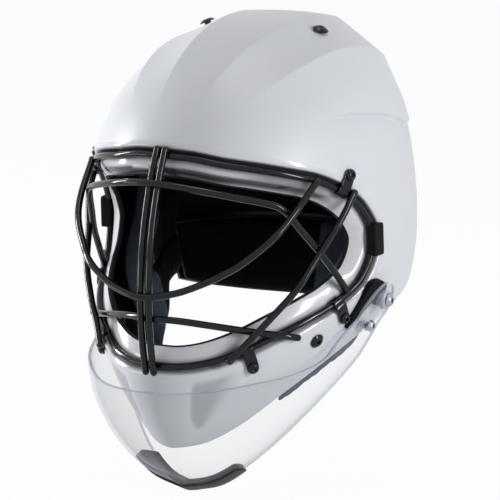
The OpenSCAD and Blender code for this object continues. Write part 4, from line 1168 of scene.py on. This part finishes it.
def trim_patch(tab):
    """A soft U-shaped channel on the guard's lower edge, whose ends narrow to a tongue.

    The channel's width falls as a circle toward the ends. The end on the
    wearer's right is closed, and the other one is open.
    """
    u = np.linspace(-0.26, 0.26, 121)
    one = np.ones_like(u)
    e, a = guard_skin(tab, u, one), guard_out(tab, u, one)
    width = np.linalg.norm(guard_skin(tab, u, 0 * u) - e, axis=-1)
    ends = np.sqrt(np.maximum(1 - np.clip((np.abs(u) - 0.225) / 0.035, 0, 1) ** 2, 0.02))
    v1, v2 = 1 - 19 * ends / width, 1 - 9.5 * ends / width
    p1, p2 = guard_skin(tab, u, v1), guard_skin(tab, u, v2)
    n1, n2 = guard_out(tab, u, v1), guard_out(tab, u, v2)
    down = unit(e - p2)
    t, g = 1.7, GUARD_T
    section = refined([
        p1 + 0.1 * n1, p1 + 0.6 * t * n1, p1 + t * n1 + 0.8 * down, p2 + t * n2, e + t * a + 0.2 * down,
        e + 0.8 * t * a + 0.7 * t * down, e - 0.5 * g * a + t * down, e - (g + 0.8 * t) * a + 0.7 * t * down,
        e - (g + t) * a + 0.2 * down, p2 - (g + t) * n2, p1 - (g + t) * n1 + 0.8 * down,
        p1 - (g + 0.6 * t) * n1, p1 - (g + 0.1) * n1,
    ], 49)
    closed = np.concatenate([section, section[:1]]).transpose(1, 0, 2)
    cap = np.repeat(closed[:1].mean(1, keepdims=True), closed.shape[1], 1)
    return (np.concatenate([cap, closed]), 0)


def hinge_pad(skin, tab):
    """The rubber leaf between shell and tab: its outline in rings, from the shell's face round to the tab.

    The rings on the shell are moved along the tab's normal until they lie 0.3 mm
    off it, and the leaf's edge is a quarter of a circle.
    """
    loop = spline(PAD_FORM + PAD_FORM[:1], np.linspace(0, 1, 121))

    def ring(k, h):
        """The outline drawn in to a share k of its size, at a height over the tab's plane."""
        return tab.at(*(PAD_MIDDLE + k * (loop - PAD_MIDDLE)).T, h)

    def seat(k):
        """A ring laid on the shell: six steps along the tab's normal, each by what is still missing."""
        p = ring(k, -1.0)
        for _ in range(6):
            p = p - tab.out * (p[:, :1] - skin.side_x(p[:, 1], p[:, 2])[:, None] - 0.3)
        return p

    quarter = np.radians([0, 25, 50, 70, 90])
    side = [ring(1 - 0.03 * (1 - math.cos(a)), -1.0 - 0.9 * (1 - math.sin(a))) for a in quarter]
    rings = [seat(k) for k in (0.02, 0.5, 0.99)] + side + [ring(k, -0.95) for k in (0.9, 0.6, 0.02)]
    return (np.stack(rings), 0)


class HELMET_OT_guard(bpy.types.Operator):
    """Build the clear throat guard, its trim, the hinge bushes, screws and rubber pads"""

    bl_idname = "helmet.guard"
    bl_label = "Throat guard"

    def execute(self, context):
        skin = Skin()
        tab = Tab(skin)
        guard = build(
            "Throat_Guard_Sheet", sheet_patch(tab), "guard", ["clear", "edge"],
            ["throat_guard"], crease=60,
        )
        add_tabs(guard.data, tab)
        build("Guard_Trim_Channel", [trim_patch(tab)], "guard", ["trim"], ["guard_trim"], crease=60)
        spacer = (turned(SPACER, facing_left(float(skin.side_x(*PIVOT)) - 0.4, PIVOT), 40), 0)
        pads = mirrored([hinge_pad(skin, tab), spacer])
        build("Hinge_Rubber_Pads", pads, "helmet", ["rubber"], ["hinge_pads"], crease=60)
        bush = (turned(BUSH, facing_left(tab.origin[0], PIVOT), 56), 0)
        # The bushes take the clear edge's finish: their paleness is painted light gathered in the clear
        # plastic, as on the sheet's cut edge
        build("Pivot_Bushes", mirrored([bush]), "guard", ["edge"], ["pivot_bushes"], crease=50)
        pivot_x = tab.origin[0] + GUARD_T + 3.3
        guide_x = float(tab.at(tab.reach, 0)[0]) + GUARD_T / tab.out[0] + 2
        for name, x, place, head, socket, sink, node in (
            ("Pivot_Screws", pivot_x, PIVOT, 5.0, 2.0, 1.6, "pivot_screws"),
            ("Guide_Screws", guide_x, GUIDE, 4.5, 1.8, 1.5, "guide_screws"),
        ):
            length = float(x - skin.side_x(*place)) + 15
            screw = domed_screw(facing_left(x, place), head, 2.8, 2.5, length, socket, sink)
            build(name, mirrored([screw]), "helmet", ["bolt"], [node], crease=40)
        return {"FINISHED"}


class HELMET_OT_shell_screws(bpy.types.Operator):
    """Build the domed screws of the crown and the jaw"""

    bl_idname = "helmet.shell_screws"
    bl_label = "Shell screws"

    def execute(self, context):
        skin = Skin()
        for name, place, head, node in (
            ("Crown_Screws", skin.at_skin(72.9, 0.766, 0.55 * skin.flutes), 6.0, "crown_screws"),
            ("Jaw_Screws", skin.at_skin(61.4, -0.67), 5.5, "jaw_screws"),
        ):
            screw = domed_screw(place, head, 2.4, shank=2.5, length=9.8, socket=1.7, sink=1.2, base=0.3)
            build(name, mirrored([screw]), "helmet", ["wire"], [node], crease=40)
        return {"FINISHED"}


# Pads

# The seam between a pad's face and back lies at this share of its thickness
SEAM = 0.4


def pillow(back, full, seams_u=(), seams_v=(), nu=90, nv=60, band=0, hem=0, piping=1):
    """A crowned pad between two edges.

    back(u, v, depth) gives a point below the shell's face and full is the pad's
    thickness, a number or a function of u. The swell is the square root of
    (1 - (2u-1)^6)(1 - (2v-1)^6), so the sides pull in between the corners. Sewn
    channels are narrow dips in it, and the face and the back meet in a seam. The
    first `band` columns and `hem` rows of the face are in the second cloth, slate:
    a binding at the jaw, and on the side and back pads a split whose black part
    is painted shade.
    """
    u, v = np.meshgrid(np.linspace(0, 1, nu + 1), np.linspace(0, 1, nv + 1))
    swell = np.sqrt(dome(u, 6) * dome(v, 6))
    thick = full if callable(full) else level(full)
    dip = np.ones_like(u)
    for places, across, wide in ((seams_u, u, 0.016), (seams_v, v, 0.022)):
        for place in places:
            dip = dip - 0.30 * np.exp(-(((across - place) / wide) ** 2))
    ripple = 0.02 * np.sin(u * 41 + 3 * np.sin(v * 7)) * np.sin(v * 23 + 2 * np.sin(u * 5))
    face = back(u, v, thick(u) * (SEAM + 0.58 * swell * (dip + ripple)))
    under = back(u, v, thick(u) * SEAM * (1 - swell))
    k, m = np.linspace(0, 1, 61)[:-1], np.linspace(0, 1, 41)[:-1]
    loop_u = np.concatenate([k, 1 + 0 * m, 1 - k, 0 * m])
    loop_v = np.concatenate([0 * k, m, 1 + 0 * k, 1 - m])
    cord = back(loop_u, loop_v, thick(loop_u) * SEAM)
    inset = cord + (cord.mean(0) - cord) * 0.006
    return [
        (face[:, : band + 1], 1), (face[: hem + 1, band:], 1), (face[hem:, band:], 0),
        (under[: hem + 1], 1), (under[hem:], 0), (tube(inset, 0.9, True, 10), piping),
    ]


def level(value):
    """A function that gives one value everywhere."""
    return lambda t: value + 0 * t


def shell_pad(skin, turns, low, high, depth, full, fore=np.zeros_like, **seams):
    """A pad under the shell between two turns and two rises.

    Its front edge can run forward, by a number of degrees for each height v.
    """

    def back(u, v, d):
        """The turn runs evenly with u between the pad's ends, and the rise with v between its edges."""
        first = turns[0] - fore(v)
        t = first + (turns[1] - first) * u
        return skin.at(t, low(t) + (high(t) - low(t)) * v, depth + d)

    return pillow(back, full, **seams)


def liner_edge(skin, turns, depth):
    """The liner's bound edge that hangs below the jaw: an ellipse carried along the shell's edge.

    Its height falls away at the two ends, and waves a little in between.
    """
    t = np.linspace(*turns, 91)[:, None]
    k = np.linspace(0, 2 * np.pi, 25)[None]
    fall = np.sqrt(dome((t - turns[0]) / (turns[1] - turns[0]), 10))
    tall = 0.095 + 0.006 * np.sin(t * 0.9) + 0.004 * np.sin(t * 2.3)
    return skin.at(t, edge_w(t) - 0.105 + tall * fall * np.cos(k), depth + 1.4 + 1.3 * fall * np.sin(k))


class HELMET_OT_pads(bpy.types.Operator):
    """Build the foam pads in their knitted covers"""

    bl_idname = "helmet.pads"
    bl_label = "Pads"

    def execute(self, context):
        skin = Skin()
        under, flutes = skin.wall + 0.3, skin.wall + 0.3 + skin.flutes
        brow = float(crease_w(np.array(0.0)))

        def low_jaw(t):
            """3.2 mm below the shell's edge, and 5 mm more past turn 45, by a smooth step."""
            return edge_w(t) - 0.032 - 0.05 * smooth((np.abs(t) - 45) / 15)

        def high_jaw(t):
            """The jaw pad's upper edge, which climbs with the power 1.6 of the turn from 30."""
            return -1.02 + 0.3 * (t - 30).clip(0) ** 1.6 / 36**1.6

        def low_side(t):
            """26 mm below the shell's edge at the front and 12 mm at the back, by a smooth step."""
            return edge_w(t) - 0.26 + 0.14 * smooth((t - 82) / 8)

        def cheek(v):
            """The side pad runs 16 degrees forward at its foot, and not at all above 0.8 of its height."""
            return 16 * smooth((0.8 - v) / 0.4)

        def over_crown(u, v, d):
            """A rectangle of the cap, from in front of its middle to behind it."""
            x, y = 0.78 * (2 * u - 1), 1.06 * v - 0.46
            return skin.at(cap_turn(x, y), cap_rise(x, y), flutes + d)

        def side(band):
            """The left side pad, with some columns of its face, from the front, in slate cloth."""
            seams = {"seams_v": (0.36, 0.7), "band": band, "piping": 0}
            return shell_pad(skin, (85, 106), low_side, level(0.34), flutes, 28, fore=cheek, **seams)

        jaw = shell_pad(
            skin, (30, 66), low_jaw, high_jaw, under, lambda u: 12 + 8 * smooth((u - 0.3) / 0.5),
            seams_u=(0.5,), hem=24,
        )
        jaw += [(liner_edge(skin, (59, 84), under), 1)]
        front = shell_pad(
            skin, (-46, 46), level(brow - 0.01), level(brow + 0.2), flutes, 14, seams_u=(0.25, 0.5, 0.75)
        )
        rear = shell_pad(skin, (134, 226), level(0.02), level(0.37), flutes - 1, 16.8, seams_u=(0.33, 0.67))
        chin = shell_pad(skin, (-28, 28), low_jaw, level(-1.08), under, 12, seams_u=(0.5,))
        for name, patches, slot, node in (
            ("Crown_Pad", pillow(over_crown, 14, (0.25, 0.5, 0.75), (0.35, 0.68)), "foam", "crown_pad"),
            ("Brow_Pad", front, "foam", "brow_pad"),
            ("Rear_Pad", rear, "foam", "rear_pad"),
            # The two side pads are lit and shaded copies: the left face is all slate, the right one black
            # beyond a slate front band, and that black is painted shade
            ("Side_Pad_Left", side(90), "side_foam", "side_pad_left"),
            ("Side_Pad_Right", mirror_image(side(26)), "side_foam", "side_pad_right"),
            ("Jaw_Pad_Left", jaw, "foam", "jaw_pad_left"),
            ("Jaw_Pad_Right", mirror_image(jaw), "foam", "jaw_pad_right"),
            ("Chin_Pad", chin, "foam", "chin_pad"),
        ):
            piece = build(name, patches, "helmet", ["foam", "slate"], [node], crease=70)
        return {"FINISHED"}


# Back plate

# Turns at its ends, depths of its two faces, and the profile of a hinge knuckle
PLATE_TURNS, PLATE_DEPTHS = (108, 252), (12.0, 14.6)
KNUCKLE = [(2.05, -4.5), (3.2, -4.5), (3.5, -4.2), (3.5, 4.2), (3.2, 4.5), (2.05, 4.5), (2.05, -4.5)]


def plate_low(t):
    """Rise of the plate's lower edge, which climbs with the cube of the angle from the nape."""
    return -0.77 + 0.13 * (np.abs(t - 180) / 70) ** 3


def plate_high(t):
    """Rise of its upper edge, the same all along."""
    return -0.13 + 0 * t


def plate_patches(skin):
    """The plate's two faces and four edges, with moulded ribs.

    A rib is a bell curve across its line: one along the lower edge and one
    upright at each side.
    """
    u, v = np.meshgrid(np.linspace(0, 1, 121), np.linspace(0, 1, 61))
    t = PLATE_TURNS[0] + (PLATE_TURNS[1] - PLATE_TURNS[0]) * u
    w = plate_low(t) + (plate_high(t) - plate_low(t)) * v
    upright = np.exp(-(((np.abs(u - 0.5) - 0.3) / 0.02) ** 2)) * smooth(v / 0.3) * smooth((1 - v) / 0.3)
    rib = np.exp(-(((v - 0.12) / 0.05) ** 2)) + upright
    face = skin.at(t, w, PLATE_DEPTHS[0] - 0.9 * rib * smooth(u / 0.06) * smooth((1 - u) / 0.06))
    inner = skin.at(t, w, PLATE_DEPTHS[1])
    k = np.linspace(0, 1, 5)[:, None, None]
    faces = [(face[i], inner[i]) for i in (0, -1)] + [(face[:, i], inner[:, i]) for i in (0, -1)]
    return [(face, 0), (inner, 0)] + [(a + (b - a) * k, 0) for a, b in faces]


class HELMET_OT_back_plate(bpy.types.Operator):
    """Build the hinged back plate and its pad"""

    bl_idname = "helmet.back_plate"
    bl_label = "Back plate"

    def execute(self, context):
        skin = Skin()
        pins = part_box("plate_pins")
        y, z = 500 * (pins[0].y + pins[1].y), 500 * (pins[0].z + pins[1].z)
        patches = plate_patches(skin) + mirrored([(turned(KNUCKLE, facing_left(24, (y, z))), 0)])
        build("Back_Plate_Moulding", patches, "nape", ["plastic"], ["back_plate"], crease=40)

        def back(a, b, d):
            """A place on the plate's inner face, a little in from the plate's ends and off its face."""
            t = PLATE_TURNS[0] + 0.6 + (PLATE_TURNS[1] - PLATE_TURNS[0] - 1.2) * a
            low, high = plate_low(t) - 0.01, plate_high(t) - 0.04
            return skin.at(t, low + (high - low) * b, PLATE_DEPTHS[1] + 0.15 + d)

        # The half of the face toward the wearer's left is slate and the other half black: the black half is
        # painted shade
        padding = pillow(back, 11, (0.25, 0.5, 0.75), band=45)
        pad = build("Back_Pad", padding, "nape", ["foam", "slate"], ["back_pad"], crease=70)
        return {"FINISHED"}


class HELMET_OT_hardware(bpy.types.Operator):
    """Give the solids that stay their finishes"""

    bl_idname = "helmet.hardware"
    bl_label = "Nuts, pins and brackets"

    def execute(self, context):
        zinc_plated = ("clip_nuts", "crown_nuts", "jaw_nuts", "guard_nuts", "plate_pins")
        for node, finish in (*((node, "zinc") for node in zinc_plated), ("plate_brackets", "plastic")):
            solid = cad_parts[node]
            solid.data.materials.clear()
            solid.data.materials.append(FINISH[finish])
        return {"FINISHED"}


# Stage

# Each lamp's name, place and size in metres, and its watts
LAMPS = (
    ("Left_Strip", (-1.73, -0.31, 0.42), (0.16, 1.0), 27),
    ("Right_Strip", (1.70, -0.35, 0.46), (0.16, 1.0), 18),
    ("Top_Softbox", (0.1, 0.1, 1.8), (1.0, 0.6), 6.0),
    ("Low_Fill", (-0.75, -0.6, -0.1), (0.3, 0.12), 0.8),
)


def white_for_view(r, shader, strength):
    """Plain white for the camera and reflections, with a share of the lit surface left for the shadow."""
    rays = r.node("ShaderNodeLightPath").outputs
    kinds = ("Is Camera Ray", "Is Glossy Ray", "Is Transmission Ray")
    direct, glossy, through = (Amount(r, rays[kind]) for kind in kinds)
    seen = direct + glossy + through
    glow = r.node("ShaderNodeEmission", None, {"Color": (1, 1, 1, 1), "Strength": 1.0})
    mixed = r.node("ShaderNodeMixShader", None, [seen.limited() * strength, shader, glow.outputs[0]])
    r.tree.links.new(mixed.outputs[0], r.out.inputs[0])


class HELMET_OT_stage(bpy.types.Operator):
    """Set the floor, the soft lights and the camera"""

    bl_idname = "helmet.stage"
    bl_label = "Stage"

    def execute(self, context):
        self.floor(context)
        self.world(context)
        self.lights(context)
        self.camera(context)
        return {"FINISHED"}

    def floor(self, context):
        """A pale floor just under the helmet, wide enough to fill the view."""
        r = Recipe("Pale_Floor", Roughness=0.9, Specular_IOR_Level=0.1)
        r.set("Base Color", r.between(r.noise(1.5), (0.84, 0.84, 0.84), (0.88, 0.88, 0.88)))
        white_for_view(r, r.shader.outputs[0], 0.96)
        z = float(cad_box[0].z) - 0.001
        mesh = bpy.data.meshes.new("Stage_Floor")
        mesh.from_pydata([(-9, -9, z), (9, -9, z), (9, 14, z), (-9, 14, z)], [], [(0, 1, 2, 3)])
        mesh.materials.append(r.material)
        floor = bpy.data.objects.new("Stage_Floor", mesh)
        context.scene.collection.objects.link(floor)

    def world(self, context):
        """Plain white for the camera, reflections and clear sheets, and a low even light on the pieces."""
        world = bpy.data.worlds.new("Studio")
        context.scene.world = world
        world.use_nodes = True
        tree = world.node_tree
        tree.nodes.clear()
        kinds = ("OutputWorld", "Background", "Background", "MixShader", "LightPath", "Math", "Math")
        out, low, white, mix, path, direct, seen = (tree.nodes.new("ShaderNode" + kind) for kind in kinds)
        for node, colour, strength in ((low, (0.94, 0.96, 1.0, 1), 0.16), (white, (1, 1, 1, 1), 1.0)):
            node.inputs["Color"].default_value, node.inputs["Strength"].default_value = colour, strength
        direct.operation = seen.operation = "MAXIMUM"
        rays = path.outputs
        for source, socket in (
            (rays["Is Camera Ray"], direct.inputs[0]), (rays["Is Transmission Ray"], direct.inputs[1]),
            (direct.outputs[0], seen.inputs[0]), (rays["Is Glossy Ray"], seen.inputs[1]),
            (seen.outputs[0], mix.inputs[0]), (low.outputs[0], mix.inputs[1]),
            (white.outputs[0], mix.inputs[2]), (mix.outputs[0], out.inputs[0]),
        ):
            tree.links.new(source, socket)

    def lights(self, context):
        """Soft lamps, each turned to the helmet's middle and unseen by the camera."""
        for name, place, area, power in LAMPS:
            light = bpy.data.lights.new(name, "AREA")
            light.shape, light.size, light.size_y, light.energy = "RECTANGLE", *area, power
            lamp = bpy.data.objects.new(name, light)
            away = Vector(place) - Vector((0, 0, -0.01))
            lamp.matrix_world = Matrix.Translation(place) @ away.to_track_quat("Z", "Y").to_matrix().to_4x4()
            lamp.visible_camera = False
            context.scene.collection.objects.link(lamp)

    def camera(self, context):
        """The photograph's camera, solved from the paired features of the cage and the shell."""
        az, el, distance = math.radians(30), math.radians(11.02), 2.368
        view = Vector((-math.sin(az) * math.cos(el), math.cos(az) * math.cos(el), -math.sin(el)))
        target = Vector((0, -0.012, -0.020))
        data = bpy.data.cameras.new("Camera")
        data.sensor_width, data.lens, data.clip_end = 36, 230.4, 100
        eye = bpy.data.objects.new("Camera", data)
        context.scene.collection.objects.link(eye)
        turn = view.to_track_quat("-Z", "Y").to_matrix().to_4x4()
        eye.matrix_world = Matrix.Translation(target - view * distance) @ turn
        context.scene.camera = eye
        context.scene.view_settings.view_transform = "Standard"


class HELMET_PT_panel(bpy.types.Panel):
    """Lists the helmet's sizes and pieces"""

    bl_label = "Helmet"
    bl_idname = "HELMET_PT_panel"
    bl_space_type = "VIEW_3D"
    bl_region_type = "UI"
    bl_category = "Helmet"

    def draw(self, context):
        for group in (context.scene.helmet_shell, context.scene.helmet_finish):
            for key in group.bl_rna.properties.keys():
                if key not in ("rna_type", "name"):
                    self.layout.prop(group, key)
        for operator in OPERATORS:
            self.layout.operator(operator.bl_idname)


OPERATORS = [
    HELMET_OT_shell, HELMET_OT_cage, HELMET_OT_clips, HELMET_OT_guard, HELMET_OT_shell_screws, HELMET_OT_pads,
    HELMET_OT_back_plate, HELMET_OT_hardware, HELMET_OT_stage,
]
CLASSES = [HELMET_PG_shell, HELMET_PG_finish, *OPERATORS, HELMET_PT_panel]


def register():
    """Adds the classes and the helmet's settings to the scene."""
    for c in CLASSES:
        bpy.utils.register_class(c)
    bpy.types.Scene.helmet_shell = bpy.props.PointerProperty(type=HELMET_PG_shell)
    bpy.types.Scene.helmet_finish = bpy.props.PointerProperty(type=HELMET_PG_finish)


def unregister():
    """Takes them away again."""
    del bpy.types.Scene.helmet_shell
    del bpy.types.Scene.helmet_finish
    for c in reversed(CLASSES):
        bpy.utils.unregister_class(c)


def main():
    """Builds every piece in order."""
    register()
    make_finishes()
    bpy.ops.helmet.shell()
    bpy.ops.helmet.cage()
    bpy.ops.helmet.clips()
    bpy.ops.helmet.guard()
    bpy.ops.helmet.shell_screws()
    bpy.ops.helmet.pads()
    bpy.ops.helmet.back_plate()
    bpy.ops.helmet.hardware()
    bpy.ops.helmet.stage()


if __name__ == "__main__":
    main()
